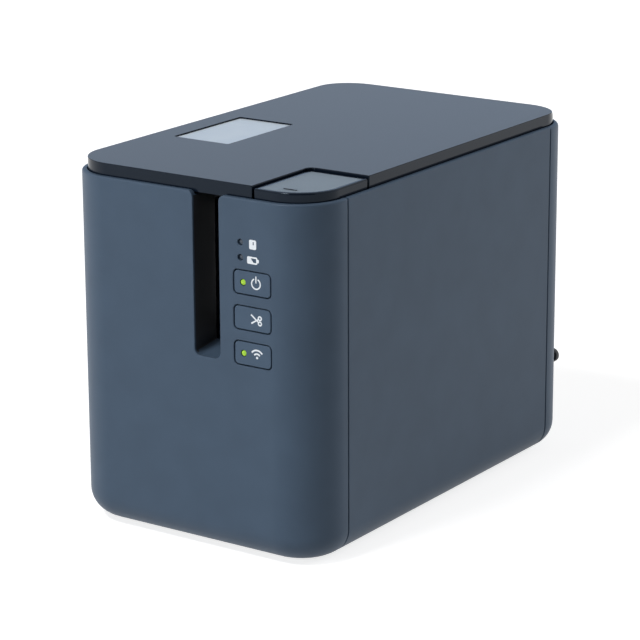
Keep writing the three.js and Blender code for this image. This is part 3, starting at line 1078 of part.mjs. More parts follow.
function ports() {
  const rear = REAR_Y - 0.4;
  const [z0, z1] = [PORT_FLOOR, PORT_FLOOR + PORT_H];
  const zMid = (z0 + z1) / 2;
  const usb = cut(box(USB_X - 6.2, USB_X + 6.2, rear - 16, rear, z0, z1),
    prismY([[USB_X - 4.3, z0 + 1.6], [USB_X + 4.3, z0 + 1.6], [USB_X + 4.3, z1 - 3.6],
      [USB_X + 2.9, z1 - 1.8], [USB_X - 2.9, z1 - 1.8], [USB_X - 4.3, z1 - 3.6]], rear - 12, rear + 1));
  const tongue = box(USB_X - 2.7, USB_X + 2.7, rear - 13, rear - 1.6, zMid - 1.5, zMid + 1.5);
  place('usb_port', join(usb, tongue), 'steel');
  const jack = cut(box(DC_X - 5.9, DC_X + 5.9, rear - 14, rear, z0, z1),
    rodY([DC_X, zMid], 3.2, rear - 11, rear + 1));
  place('dc_inlet', join(jack, rodY([DC_X, zMid], 0.9, rear - 12, rear - 2)), 'dark');
}

frontCover();
sideCover('left_side_cover', -1);
sideCover('right_side_cover', 1);
rearCover();
cordHook();
baseTray();
mechanismFrame();
feedTrain();
rollerHolder();
printHead();
cutter();
cassetteBay();
tapeSensor();
topCover();
releaseButton();
releaseLatch();
releaseSpring();
controlKeys();
controlBoard();
mainBoard();
ports();

export default group;
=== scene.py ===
# %% [markdown]
# # A desktop label maker
# The object is a tall box of satin blue-grey plastic with a dark lid. The lid opens over a bay for
# the tape. This notebook dresses the measured model of it. The outside and the round pieces are
# formulas on grids of points, worked out as whole arrays. The works inside are copies of measured
# pieces with softened edges. All of them take their places from the frame that is loaded first.

import json
import math

import bmesh
import bpy
import numpy as np
from mathutils import Matrix, Vector

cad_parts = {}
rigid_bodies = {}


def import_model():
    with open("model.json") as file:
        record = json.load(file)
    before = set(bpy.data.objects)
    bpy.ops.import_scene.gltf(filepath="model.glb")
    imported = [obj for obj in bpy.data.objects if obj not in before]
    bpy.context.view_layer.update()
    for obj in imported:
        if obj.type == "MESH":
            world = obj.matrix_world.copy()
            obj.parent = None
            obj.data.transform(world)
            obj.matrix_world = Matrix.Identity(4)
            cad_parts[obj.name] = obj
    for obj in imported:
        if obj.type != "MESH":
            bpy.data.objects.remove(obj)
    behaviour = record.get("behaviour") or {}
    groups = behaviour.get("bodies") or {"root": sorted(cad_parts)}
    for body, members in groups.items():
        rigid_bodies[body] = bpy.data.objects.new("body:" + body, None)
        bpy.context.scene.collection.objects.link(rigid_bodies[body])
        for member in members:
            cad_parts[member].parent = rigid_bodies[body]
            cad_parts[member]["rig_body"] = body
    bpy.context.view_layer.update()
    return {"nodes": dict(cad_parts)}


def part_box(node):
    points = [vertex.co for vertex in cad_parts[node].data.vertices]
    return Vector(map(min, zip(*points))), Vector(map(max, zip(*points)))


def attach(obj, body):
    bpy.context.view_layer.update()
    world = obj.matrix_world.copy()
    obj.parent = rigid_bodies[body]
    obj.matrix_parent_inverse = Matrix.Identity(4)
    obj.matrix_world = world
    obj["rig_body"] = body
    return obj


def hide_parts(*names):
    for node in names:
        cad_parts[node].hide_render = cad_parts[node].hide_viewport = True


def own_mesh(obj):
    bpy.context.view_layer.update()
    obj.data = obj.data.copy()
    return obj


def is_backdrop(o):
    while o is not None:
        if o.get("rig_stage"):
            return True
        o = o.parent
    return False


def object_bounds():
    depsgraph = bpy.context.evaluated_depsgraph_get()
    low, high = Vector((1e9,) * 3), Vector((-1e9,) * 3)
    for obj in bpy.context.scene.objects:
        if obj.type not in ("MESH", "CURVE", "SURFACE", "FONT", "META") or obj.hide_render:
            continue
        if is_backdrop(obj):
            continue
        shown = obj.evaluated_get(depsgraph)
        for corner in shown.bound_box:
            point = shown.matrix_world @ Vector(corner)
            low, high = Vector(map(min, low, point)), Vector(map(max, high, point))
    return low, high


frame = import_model()
MM = 0.001

# %% [markdown]
# ## The camera
# A long lens keeps the vertical edges nearly upright, as a catalogue picture does. An azimuth turns
# the camera to the right of the front, and an elevation lifts it above the table. A very small shift
# and roll finish the framing. The lamps and cards are placed later in the same way.

# %% Place the camera
CAMERA_AZIMUTH, CAMERA_ELEVATION, CAMERA_ROLL = 34.27, 15.75, -0.22
CAMERA_DISTANCE = 1.1
CAMERA_LENS = 152.06
CAMERA_SHIFT = (-0.0141, -0.0236)
LOOK_AT = Vector((0, -0.002, 0.074))


def stand(thing, azimuth, elevation, distance):
    """Stands a thing away from LOOK_AT, by angles in degrees, and aims its own -Z axis back there.

    The unit vector from LOOK_AT to the thing is (sin a cos e, -cos a cos e, sin e)."""
    a, e = math.radians(azimuth), math.radians(elevation)
    away = Vector((math.sin(a) * math.cos(e), -math.cos(a) * math.cos(e), math.sin(e)))
    thing.location = LOOK_AT + away * distance
    thing.rotation_mode = "QUATERNION"
    thing.rotation_quaternion = (-away).to_track_quat("-Z", "Y")
    bpy.context.scene.collection.objects.link(thing)


camera = bpy.data.objects.new("studio_camera", bpy.data.cameras.new("studio_camera"))
camera.data.lens = CAMERA_LENS
camera.data.shift_x, camera.data.shift_y = CAMERA_SHIFT
stand(camera, CAMERA_AZIMUTH, CAMERA_ELEVATION, CAMERA_DISTANCE)
roll = Matrix.Rotation(math.radians(CAMERA_ROLL), 4, "Z").to_quaternion()
camera.rotation_quaternion = camera.rotation_quaternion @ roll
bpy.context.scene.camera = camera
print("camera stands at, mm:", [round(v / MM) for v in camera.location])

# %% [markdown]
# ## Surfaces from grids
# Almost every piece here is a section carried along something: a plan line stacked upwards, a wall
# section carried round the corners, a circle turned about an axis. All of these are one grid of
# points. `skin` closes each section on itself, joins the sections with faces and caps the two ends.

# %% A skin through a grid of points
MERGE = 1e-7


def skin(name, grid, loop=False):
    """Closed mesh through grid[i, j], the j-th point of the i-th section.

    Each section closes on itself. Four neighbours make a face: (i, j), (i, j+1), (i+1, j+1),
    (i+1, j). The first and last sections get a flat cap, unless loop joins them to each other.
    Points that fall together, as at a pole, are merged, and the faces are turned outwards."""
    grid = np.asarray(grid, float)
    rows, columns = grid.shape[:2]
    last = rows if loop else rows - 1
    i, j = np.meshgrid(np.arange(last), np.arange(columns), indexing="ij")
    ahead, after = (i + 1) % rows, (j + 1) % columns
    quads = np.stack([i * columns + j, i * columns + after,
                      ahead * columns + after, ahead * columns + j], axis=-1).reshape(-1, 4)
    faces = quads.tolist()
    if not loop:
        faces += [list(range(columns))[::-1], list(range((rows - 1) * columns, rows * columns))]
    mesh = bpy.data.meshes.new(name)
    mesh.from_pydata(grid.reshape(-1, 3).tolist(), [], faces)
    tidy_mesh(mesh)
    piece = bpy.data.objects.new(name, mesh)
    bpy.context.scene.collection.objects.link(piece)
    return piece


def tidy_mesh(mesh, flat_angle=None):
    """Merges points that fall together, drops empty faces and turns the faces outwards."""
    work = bmesh.new()
    work.from_mesh(mesh)
    bmesh.ops.remove_doubles(work, verts=work.verts, dist=MERGE)
    bmesh.ops.dissolve_degenerate(work, edges=work.edges, dist=MERGE)
    if flat_angle:
        bmesh.ops.dissolve_limit(work, angle_limit=flat_angle, verts=work.verts, edges=work.edges)
    bmesh.ops.recalc_face_normals(work, faces=work.faces)
    work.to_mesh(mesh)
    work.free()


# %% [markdown]
# Plan lines have only square corners with a rounding each, so one formula draws them all: the body,
# the lid with its stepped corner, the keys and the slot. Each edge may be drawn in by its own
# amount, which is how a rounded rim or a bevel is made: the same line, stacked at growing insets.

# %% Rounded outlines
CORNER_STEPS = 24


def outline(corners, insets=0.0, steps=CORNER_STEPS):
    """Points of a counterclockwise outline whose corners are (u, v, radius).

    An outer corner's arc is centre + (radius - inset) (cos t along the incoming edge's outward
    normal, sin t along the outgoing one's), t from 0 to a quarter turn. An inner corner bends the
    other way, so its radius grows with the inset. insets holds one number, or one for each edge,
    and edge k runs from corner k to the next."""
    points = np.array([corner[:2] for corner in corners], float)
    radii = np.array([corner[2] for corner in corners], float)[:, None, None]
    along = np.roll(points, -1, axis=0) - points
    leaving = np.stack([along[:, 1], -along[:, 0]], axis=1)
    leaving /= np.linalg.norm(leaving, axis=1, keepdims=True)
    arriving = np.roll(leaving, 1, axis=0)
    turn = np.sign(arriving[:, 0] * leaving[:, 1] - arriving[:, 1] * leaving[:, 0])[:, None, None]
    insets = np.broadcast_to(insets, len(corners)).astype(float)
    reach_in = radii - turn * np.roll(insets, 1)[:, None, None]
    reach_out = radii - turn * insets[:, None, None]
    t = np.linspace(0, math.pi / 2, steps + 1)[None, :, None]
    along_in = reach_in * np.where(reach_in > 0, np.cos(t), 1)
    along_out = reach_out * np.where(reach_out > 0, np.sin(t), 1)
    centre = points[:, None, :] - turn * radii * (arriving + leaving)[:, None, :]
    arcs = centre + turn * (along_in * arriving[:, None, :] + along_out * leaving[:, None, :])
    return arcs.reshape(-1, 2)


def stacked(lines, heights):
    """Grid of sections: each flat line (u, v) lifted to its own height."""
    lines = np.asarray(lines, float)
    lift = np.broadcast_to(np.asarray(heights, float)[:, None, None], lines.shape[:2] + (1,))
    return np.concatenate([lines, lift], axis=-1)


def facing_front(grid):
    """Turns a grid stacked along +Z to face -Y: u stays x, v becomes z, height comes forwards."""
    return np.stack([grid[..., 0], -grid[..., 2], grid[..., 1]], axis=-1)


def facing_back(grid):
    """Turns a grid stacked along +Z to face +Y: u becomes -x, v becomes z, height goes back."""
    return np.stack([-grid[..., 0], grid[..., 2], grid[..., 1]], axis=-1)


def quarter(steps=5):
    """Cosines and sines of a quarter turn, from 0 to 90 degrees."""
    t = np.linspace(0, math.pi / 2, steps + 1)
    return np.cos(t), np.sin(t)


def rectangle(u0, u1, v0, v1, radius):
    """Corners of a rectangle with one rounding."""
    return [(u0, v0, radius), (u1, v0, radius), (u1, v1, radius), (u0, v1, radius)]


# %% [markdown]
# Turned pieces, such as rollers and feet, are a profile of radii and heights spun about an axis.

# %% Turned pieces
def turned(name, profile, centre, axis="z", segments=48):
    """Profile of (radius, height) spun about an axis through centre; it starts and ends at radius 0.

    Point j of ring i is (r_i cos t_j, r_i sin t_j, h_i), then the axis is laid along x, y or z."""
    profile = np.asarray(profile, float)
    t = np.linspace(0, 2 * math.pi, segments, endpoint=False)
    r, h = profile[:, 0][:, None], profile[:, 1][:, None]
    ring = [r * np.cos(t), r * np.sin(t), np.broadcast_to(h, (len(profile), segments))]
    order = {"z": (0, 1, 2), "y": (1, 2, 0), "x": (2, 0, 1)}[axis]
    return skin(name, np.stack([ring[k] for k in order], axis=-1) + np.array(centre))


# %% [markdown]
# Openings are cut with solids of their own. A cutter that widens at the surface leaves a softened
# edge, as a moulding tool does, and that thin rounding is what catches the light.

# %% Cutting, joining and finishing
def settle(piece):
    """Makes a piece's modifiers part of its mesh."""
    graph = bpy.context.evaluated_depsgraph_get()
    mesh = bpy.data.meshes.new_from_object(piece.evaluated_get(graph))
    piece.modifiers.clear()
    piece.data = mesh


def combine(piece, tools, how="DIFFERENCE"):
    """Cuts the tools out of a piece, or joins them to it, and throws the tools away."""
    for tool in tools:
        step = piece.modifiers.new("shape", "BOOLEAN")
        step.operation, step.object, step.solver = how, tool, "EXACT"
        bpy.context.view_layer.update()
        settle(piece)
        bpy.data.objects.remove(tool)
    return piece


def block(name, low, high):
    """Plain box from its lowest to its highest corner, for cutting and joining."""
    (x0, y0, z0), (x1, y1, z1) = low, high
    plan = [(x0, y0), (x1, y0), (x1, y1), (x0, y1)]
    return skin(name, stacked([plan, plan], [z0, z1]))


def rod(name, centre, radius, start, end, axis="z", segments=32):
    """Plain round bar from start to end along an axis through centre, for cutting and joining."""
    return turned(name, [(0, start), (radius, start), (radius, end), (0, end)], centre, axis, segments)


def shade(piece, angle=32):
    """Smooth faces with sharp edges kept, weighted so that flat faces stay flat."""
    mesh = piece.data
    mesh.polygons.foreach_set("use_smooth", np.ones(len(mesh.polygons), bool))
    mesh.set_sharp_from_angle(angle=math.radians(angle))
    weigh = piece.modifiers.new("weighted normals", "WEIGHTED_NORMAL")
    weigh.keep_sharp = True


def middle(node, flat):
    """Middle of a node's measured box, with its place along the axis flat set to 0."""
    low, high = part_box(node)
    centre = (np.array(low) + np.array(high)) / 2
    centre["xyz".index(flat)] = 0
    return centre


def body_of(node):
    """The body that a node of the measured model moves with."""
    return frame["nodes"][node]["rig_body"]


def fit(piece, material, node=None, body=None):
    """Gives a piece its material and lets it ride on a body, or on the body of the node it is for."""
    piece.data.materials.clear()
    piece.data.materials.append(material)
    shade(piece)
    if node:
        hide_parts(node)
        body = body_of(node)
    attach(piece, body)
    print(f"{piece.name}: {len(piece.data.polygons)} faces, rides on {body}")
    return piece


def second_finish(piece, material, chosen):
    """Gives another material to the faces for which chosen(normals, centres) holds."""
    mesh = piece.data
    mesh.materials.append(material)
    normals, centres = np.empty((2, len(mesh.polygons), 3))
    mesh.polygons.foreach_get("normal", normals.ravel())
    mesh.polygons.foreach_get("center", centres.ravel())
    picked = chosen(normals, centres)
    mesh.polygons.foreach_set("material_index", picked.astype(np.int32))
    print(f"{piece.name}: {material.name} on {picked.sum()} faces")


# %% [markdown]
# ## Finishes
# Each finish is a small tree of nodes on the piece's own Object coordinates, in metres, so that its
# grain has a real size and stays put when a part moves. Moulded plastic gets three things: a faint
# drift of tone over centimetres, a fine spark-eroded grain a quarter of a millimetre across, and a
# roughness that follows that grain.

# %% Helpers for finishes
def tone(red, green, blue):
    """Linear colour from the 0 to 255 values of a colour as it is seen."""
    seen = np.array([red, green, blue]) / 255
    return tuple(np.where(seen <= 0.04045, seen / 12.92, ((seen + 0.055) / 1.055) ** 2.4)) + (1.0,)


def start_finish(name, **values):
    """New node material; values are set on the shader's own sockets. Gives its tree and shader."""
    material = bpy.data.materials.new(name)
    material.use_nodes = True
    shader = material.node_tree.nodes["Principled BSDF"]
    for socket, value in values.items():
        shader.inputs[socket.replace("_", " ")].default_value = value
    return material, material.node_tree, shader


def add_node(tree, kind, settings=None, **inputs):
    """Adds a node; an input is either a plain value or the socket that feeds it."""
    made = tree.nodes.new("ShaderNode" + kind)
    for key, value in (settings or {}).items():
        setattr(made, key, value)
    for key, value in inputs.items():
        socket = made.inputs[key.replace("_", " ")]
        if isinstance(value, bpy.types.NodeSocket):
            tree.links.new(value, socket)
        else:
            socket.default_value = value
    return made


def own_coordinates(tree, stretch=(1, 1, 1)):
    """The piece's Object coordinates, squeezed along each axis by stretch."""
    place = add_node(tree, "TexCoord")
    return add_node(tree, "Mapping", Vector=place.outputs["Object"], Scale=stretch).outputs["Vector"]


def noise(tree, size, detail=2.0, stretch=(1, 1, 1)):
    """Cloudy pattern from 0 to 1 on the piece's own coordinates, with grains of about that size."""
    place = own_coordinates(tree, stretch)
    return add_node(tree, "TexNoise", Vector=place, Scale=1 / size, Detail=detail).outputs["Fac"]


def ramp(tree, factor, first, second, start=0.3, end=0.7):
    """Blend between two colours as the factor runs from start to end."""
    made = add_node(tree, "ValToRGB", Fac=factor)
    made.color_ramp.elements[0].position, made.color_ramp.elements[0].color = start, first
    made.color_ramp.elements[1].position, made.color_ramp.elements[1].color = end, second
    return made.outputs["Color"]


def shifted(colour, amount):
    """The same colour, lighter or darker by a share."""
    return tuple(min(1.0, c * (1 + amount)) for c in colour[:3]) + (1.0,)


def rough_between(tree, factor, low, high):
    """Roughness that runs from low to high with the factor."""
    return add_node(tree, "MapRange", Value=factor, To_Min=low, To_Max=high).outputs["Result"]


def bumped(tree, height, depth):
    """Normal bent by a height pattern whose full depth is given in metres."""
    return add_node(tree, "Bump", Height=height, Strength=1.0, Distance=depth).outputs["Normal"]


def feed(shader, **sockets):
    """Links each socket to the shader's input of that name."""
    for name, socket in sockets.items():
        shader.id_data.links.new(socket, shader.inputs[name.replace("_", " ")])


# %% [markdown]
# The covers and the keys are a satin blue-grey plastic. The lid and the plate on the button are a
# dark blue one with a thin pale sheen, which makes them look paler the lower the eye is. The lid's
# walls and the button's rim are that dark plastic polished, so they are dark with a bright edge.

# %% Moulded plastics
GRAIN, DRIFT = 0.25 * MM, 14 * MM
ROUGH_SPREAD = 0.06
DARK_BLUE = tone(14, 22, 34)
SOFT_BLUE, PALE_BLUE, COOL = (0.88, 0.94, 1.0, 1), (0.78, 0.91, 1.0, 1), (0.7, 0.85, 1.0, 1)


def moulded(name, colour, roughness, drift=0.05, depth=0.006 * MM, grain=GRAIN, **values):
    """Moulded plastic: slow drift of tone, fine grain as bump, and roughness that follows it."""
    material, tree, shader = start_finish(name, **values)
    slow, fine = noise(tree, DRIFT, 3.0), noise(tree, grain)
    feed(shader, Base_Color=ramp(tree, slow, shifted(colour, -drift), shifted(colour, drift)),
         Roughness=rough_between(tree, fine, roughness - ROUGH_SPREAD, roughness + ROUGH_SPREAD),
         Normal=bumped(tree, fine, depth))
    return material


cover_plastic = moulded("cover_plastic", tone(66, 82, 100), 0.46, Specular_IOR_Level=0.2)
lid_plastic = moulded("lid_plastic", DARK_BLUE, 0.36, depth=0.004 * MM, Specular_IOR_Level=0.18,
                      Specular_Tint=COOL, Sheen_Weight=0.22, Sheen_Roughness=0.35,
                      Sheen_Tint=SOFT_BLUE)
rim_plastic = moulded("rim_plastic", tone(13, 21, 33), 0.11, depth=0.002 * MM,
                      Specular_IOR_Level=0.2, Specular_Tint=COOL)
button_plastic = moulded("button_plastic", DARK_BLUE, 0.34, depth=0.004 * MM,
                         Specular_IOR_Level=0.15, Sheen_Weight=0.68, Sheen_Roughness=0.35,
                         Sheen_Tint=PALE_BLUE)
key_plastic = moulded("key_plastic", tone(69, 86, 105), 0.46, Specular_IOR_Level=0.2)
bay_plastic = moulded("bay_plastic", tone(84, 88, 93), 0.55)
dark_plastic = moulded("dark_plastic", tone(34, 36, 40), 0.5)
natural_acetal = moulded("natural_acetal", tone(222, 218, 205), 0.42, drift=0.03)
foot_rubber = moulded("foot_rubber", tone(34, 34, 36), 0.85, depth=0.02 * MM, grain=0.5 * MM)
glazed_ceramic = moulded("glazed_ceramic", tone(212, 206, 190), 0.25, drift=0.08)
print("plastics made:", len(bpy.data.materials))

# %% [markdown]
# The window is a milky pane: it lets some light into the bay but hides what lies in it. The lights
# in the two keys are lit and glow green, the two above them are off behind a dark lens, and the
# marks are plain matt white ink.

# %% Pane, lights and ink
PANE_CLOUD, LENS_GRAIN = 9 * MM, 0.9 * MM


def milky_pane():
    """Frosted pane: pale body colour, a part of the light passes, and a smooth top."""
    material, tree, shader = start_finish("window_pane", Transmission_Weight=0.12, IOR=1.49)
    slow = noise(tree, PANE_CLOUD)
    feed(shader, Base_Color=ramp(tree, slow, tone(204, 213, 221), tone(212, 220, 226)),
         Roughness=rough_between(tree, slow, 0.26, 0.32))
    return material


def lit_lens(name, edge, middle, strength):
    """Round lens lit from behind: its grain of light is a fine noise between two greens."""
    material, tree, shader = start_finish(name, Roughness=0.2, Emission_Strength=strength)
    glow = ramp(tree, noise(tree, LENS_GRAIN), edge, middle, 0.35, 0.6)
    feed(shader, Base_Color=glow, Emission_Color=glow)
    return material


window_pane = milky_pane()
green_light = lit_lens("green_light", tone(118, 165, 30), tone(172, 205, 60), 0.45)
dark_lens = moulded("dark_lens", tone(52, 65, 80), 0.2, depth=0.0005 * MM)
white_ink = moulded("white_ink", tone(226, 232, 238), 0.5, drift=0.02, depth=0.002 * MM)
print("pane, lights and ink made")

# %% [markdown]
# Metals differ by how they were worked. Ground steel has fine scratches along one axis, plated sheet
# has a cloudy bloom, and an extrusion has straight die lines. A stretched noise draws all three.

# %% Metals and circuit boards
SCRATCH_DEPTH = 0.0012 * MM
SCRATCH_DARK, SCRATCH_LIGHT = -0.12, 0.06


def worked_metal(name, colour, roughness, stretch, scratch, spread=0.1):
    """Metal whose roughness and height follow a noise that is drawn out along one axis."""
    material, tree, shader = start_finish(name, Metallic=1.0)
    lines = noise(tree, scratch, 4.0, stretch)
    feed(shader,
         Base_Color=ramp(tree, lines, shifted(colour, SCRATCH_DARK), shifted(colour, SCRATCH_LIGHT)),
         Roughness=rough_between(tree, lines, roughness - spread, roughness + spread),
         Normal=bumped(tree, lines, SCRATCH_DEPTH))
    return material


def solder_mask():
    """Green board: straight tracks from a brick pattern show faintly under a glossy mask."""
    material, tree, shader = start_finish("solder_mask", Roughness=0.3)
    tracks = add_node(tree, "TexBrick", Vector=own_coordinates(tree), Scale=1 / (4 * MM),
                      Mortar_Size=0.12, Mortar_Smooth=0.2, Brick_Width=0.9, Row_Height=0.3,
                      Color1=tone(22, 84, 50), Color2=tone(26, 92, 56), Mortar=tone(44, 122, 74))
    feed(shader, Base_Color=tracks.outputs["Color"],
         Normal=bumped(tree, tracks.outputs["Fac"], 0.02 * MM))
    return material


def ground_rubber():
    """Roller rubber: ground round its axis, so the fine lines lie in level rings."""
    material, tree, shader = start_finish("roller_rubber")
    rings = noise(tree, 0.3 * MM, stretch=(0.05, 0.05, 1))
    feed(shader, Base_Color=ramp(tree, rings, tone(34, 35, 38), tone(46, 47, 50)),
         Roughness=rough_between(tree, rings, 0.6, 0.8), Normal=bumped(tree, rings, 0.01 * MM))
    return material


ground_steel = worked_metal("ground_steel", tone(196, 199, 202), 0.32, (1, 1, 0.04), 0.3 * MM)
plated_sheet = worked_metal("plated_sheet", tone(176, 178, 176), 0.36, (1, 1, 1), 5 * MM, 0.06)
drawn_aluminium = worked_metal("drawn_aluminium", tone(190, 193, 196), 0.34, (1, 1, 0.03), 0.4 * MM)
circuit_board = solder_mask()
roller_rubber = ground_rubber()
print("materials in all:", len(bpy.data.materials))

# %% [markdown]
# ## The studio
# The object stands on a pale floor that runs out past the edges of the view. To the eye, and in
# mirror-like faces, the floor glows a little on top of what it reflects, so that it goes fully white
# away from the object and still takes its shadow. Two large soft lamps stand at the front left and
# behind the right. They light the faces but don't mirror in them, or the dark lid would turn white
# from behind. A smaller one high at the front left draws the thin bright line on the rims. Little
# comes from the camera's side, which is why the near corner is the darkest.

# %% Floor
FLOOR_REACH, FLOOR_LEVEL = 8.0, -0.02 * MM
FLOOR_GLOW, GLOW_GROWS = 0.75, (0.7, 1.8)
PAPER_GRAIN = 2.5 * MM
WHITE = (1, 1, 1, 1)


def seen_directly(tree):
    """1 for rays from the eye, from mirror-like faces and through clear ones, 0 for others."""
    path = add_node(tree, "LightPath")
    seen = path.outputs["Is Camera Ray"]
    for ray in ("Is Glossy Ray", "Is Transmission Ray"):
        either = add_node(tree, "Math", {"operation": "MAXIMUM"})
        tree.links.new(seen, either.inputs[0])
        tree.links.new(path.outputs[ray], either.inputs[1])
        seen = either.outputs[0]
    return seen


def pale_floor():
    """Matt pale sheet with a fine paper grain, and a glow that only direct rays see.

    Far from the lamps the glow grows to a full white with the distance sqrt(x^2 + y^2)."""
    material, tree, shader = start_finish("pale_floor", Roughness=0.9, Specular_IOR_Level=0.0,
                                          Emission_Color=WHITE)
    paper = noise(tree, PAPER_GRAIN)
    away = add_node(tree, "VectorMath", {"operation": "LENGTH"})
    tree.links.new(own_coordinates(tree), away.inputs[0])
    far = add_node(tree, "MapRange", Value=away.outputs["Value"], From_Min=GLOW_GROWS[0],
                   From_Max=GLOW_GROWS[1], To_Min=FLOOR_GLOW, To_Max=1.0)
    glow = add_node(tree, "MapRange", Value=seen_directly(tree), To_Min=0.0, To_Max=far.outputs["Result"])
    feed(shader, Base_Color=ramp(tree, paper, (0.62, 0.62, 0.62, 1), (0.66, 0.66, 0.66, 1)),
         Emission_Strength=glow.outputs["Result"])
    return material


def square(name, half, height, material):
    """Flat square about the Z axis, from -half to half in x and y, at one height."""
    mesh = bpy.data.meshes.new(name)
    corners = [(x * half, y * half, height) for x, y in ((-1, -1), (1, -1), (1, 1), (-1, 1))]
    mesh.from_pydata(corners, [], [(0, 1, 2, 3)])
    mesh.materials.append(material)
    return bpy.data.objects.new(name, mesh)


floor = square("floor", FLOOR_REACH, FLOOR_LEVEL, pale_floor())
bpy.context.scene.collection.objects.link(floor)
floor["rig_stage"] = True
print("floor reaches", FLOOR_REACH, "m each way")

# %% Room light and lamps
ROOM_LIGHT = 0.22
world = bpy.data.worlds.new("studio_room")
world.use_nodes = True
bpy.context.scene.world = world
room = world.node_tree
backdrop = room.nodes["Background"]
backdrop.inputs["Color"].default_value = WHITE
level = add_node(room, "MapRange", Value=seen_directly(room), To_Min=ROOM_LIGHT, To_Max=1.0)
room.links.new(level.outputs["Result"], backdrop.inputs["Strength"])


def soft_lamp(name, azimuth, elevation, distance, size, level, mirrored=False):
    """Flat lamp aimed at the object. Its power is level times pi^2 d^2, d being its distance."""
    lamp = bpy.data.lights.new(name, "AREA")
    lamp.shape = "RECTANGLE"
    lamp.size, lamp.size_y = size
    lamp.energy = level * math.pi ** 2 * distance ** 2
    holder = bpy.data.objects.new(name, lamp)
    stand(holder, azimuth, elevation, distance)
    holder.visible_glossy = mirrored


soft_lamp("left_softbox", azimuth=-26, elevation=10, distance=2.4, size=(1.2, 1.2), level=0.53)
soft_lamp("high_softbox", azimuth=-15, elevation=55, distance=2.4, size=(0.6, 0.35), level=0.46,
          mirrored=True)
soft_lamp("right_softbox", azimuth=150, elevation=16, distance=4.0, size=(2.6, 2.2), level=0.57)
print("lamps in place:", len(bpy.data.lights))

# %% [markdown]
# Two cards out of view shape the reflections. A dark one behind the camera keeps the bright room out
# of the faces that look at the camera, so the rounded corner between the two lit faces falls into
# shade. A pale blue one stands low behind the object, where the lid mirrors it at a shallow angle.

# %% Cards out of view
CARD_BLUE, CARD_CLOUD = (0.54, 0.72, 1.0, 1), 0.5


def card(name, azimuth, elevation, distance, half, material):
    """Square card that faces the object and is hidden from the camera's own rays."""
    made = square(name, half, 0, material)
    stand(made, azimuth, elevation, distance)
    made.visible_camera = False
    made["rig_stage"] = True


def blue_card():
    """Card that glows a pale blue to mirror-like faces only, with a faint cloudy drift."""
    material, tree, shader = start_finish("card_blue", Base_Color=tone(60, 62, 66), Roughness=0.9)
    glow = ramp(tree, noise(tree, CARD_CLOUD), CARD_BLUE, shifted(CARD_BLUE, 0.03))
    feed(shader, Emission_Color=glow, Emission_Strength=seen_directly(tree))
    return material


card("dark_card", CAMERA_AZIMUTH, CAMERA_ELEVATION, 1.5, 1.0,
     moulded("card_black", tone(30, 30, 32), 0.9, grain=2 * MM))
card("blue_card", CAMERA_AZIMUTH + 180, 26, 2.0, 1.1, blue_card())
bpy.context.scene.view_settings.view_transform = "Standard"
print("cards in place")

# %% [markdown]
# ## The covers
# Four covers make the body: one wraps the front and both its corners, one wraps the rear, and two
# flat ones close the sides. Their wall has one section everywhere: a lip under the body, a quarter
# round, the upright, a softened rim, and the same way back inside. Carrying that closed section
# along a plan path gives a cover at once, and the wall keeps an even thickness. Only the openings
# are left to be cut, and upright ribs are joined to the two sides.

# %% Sizes of the body, from the frame
WALL, UNDER, LIP = 2 * MM, 11 * MM, 0.3 * MM
CORNER_FRONT, CORNER_REAR = 20 * MM, 19 * MM
RIM_ROUND, SIDE_RIM_ROUND, REAR_RIM_ROUND = 0.9 * MM, 0.4 * MM, 1.7 * MM
EASE, INNER_EASE = 0.35 * MM, 0.1 * MM

front_low, front_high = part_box("front_cover")
side_low, side_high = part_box("right_side_cover")
rear_low, rear_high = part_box("rear_cover")
SIDE, FRONT, REAR = front_high.x, front_low.y, rear_high.y
BASE, RIM = front_low.z, front_high.z
print("covers from", round(BASE / MM, 1), "to", round(RIM / MM, 1), "mm above the table")


# %% Section and paths
def wall_section(rim):
    """Closed wall section as (inset, height, outside?) rows, running up outside and down inside.

    The quarter round underneath is inset = UNDER - R sin a, height = UNDER - R cos a, with R the
    outer radius and then the inner one, about the same centre."""
    def under(radius, steps=12):
        a = np.linspace(math.asin(LIP / radius), math.pi / 2, steps + 1)
        return np.stack([UNDER - radius * np.sin(a), BASE + UNDER - radius * np.cos(a)], axis=1)

    cosine, sine = quarter(6)
    over = np.stack([rim - rim * cosine, RIM - rim + rim * sine], axis=1)
    inner_edge = [(WALL - INNER_EASE, RIM), (WALL, RIM - 2 * INNER_EASE)]
    outside = np.concatenate([under(UNDER), over])
    inside = np.concatenate([inner_edge, under(UNDER - WALL)[::-1]])
    flags = np.concatenate([np.ones(len(outside)), np.zeros(len(inside))])
    return np.column_stack([np.concatenate([outside, inside]), flags])


def bend(x, y, radius, start):
    """A quarter of a plan corner: its points and outward normals, turning left from start."""
    t = start + np.linspace(0, math.pi / 2, CORNER_STEPS + 1)
    normal = np.stack([np.cos(t), np.sin(t)], axis=1)
    return np.array([x, y]) + radius * normal, normal, np.zeros(len(t))


def seam_end(x, y, inwards, outward):
    """Points near a seam, where the skin rolls in: a quarter round of radius EASE."""
    cosine, sine = quarter(4)
    reach = EASE - EASE * cosine
    points = np.stack([np.full(len(reach), x), y + inwards * reach], axis=1)
    normal = np.tile([outward, 0.0], (len(reach), 1))
    return points, normal, EASE - EASE * sine


def carried(name, stretches, section):
    """Wall section carried along a plan path; near a seam its outer side is drawn in.

    The point for path point i and section row j is path_i - (inset_j + flag_j draw_i) normal_i."""
    path, normal, draw = (np.concatenate(parts) for parts in zip(*stretches))
    inset = section[None, :, 0] + section[None, :, 2] * draw[:, None]
    plan = path[:, None, :] - inset[:, :, None] * normal[:, None, :]
    height = np.broadcast_to(section[None, :, 1:2], plan.shape[:2] + (1,))
    return skin(name, np.concatenate([plan, height], axis=-1))


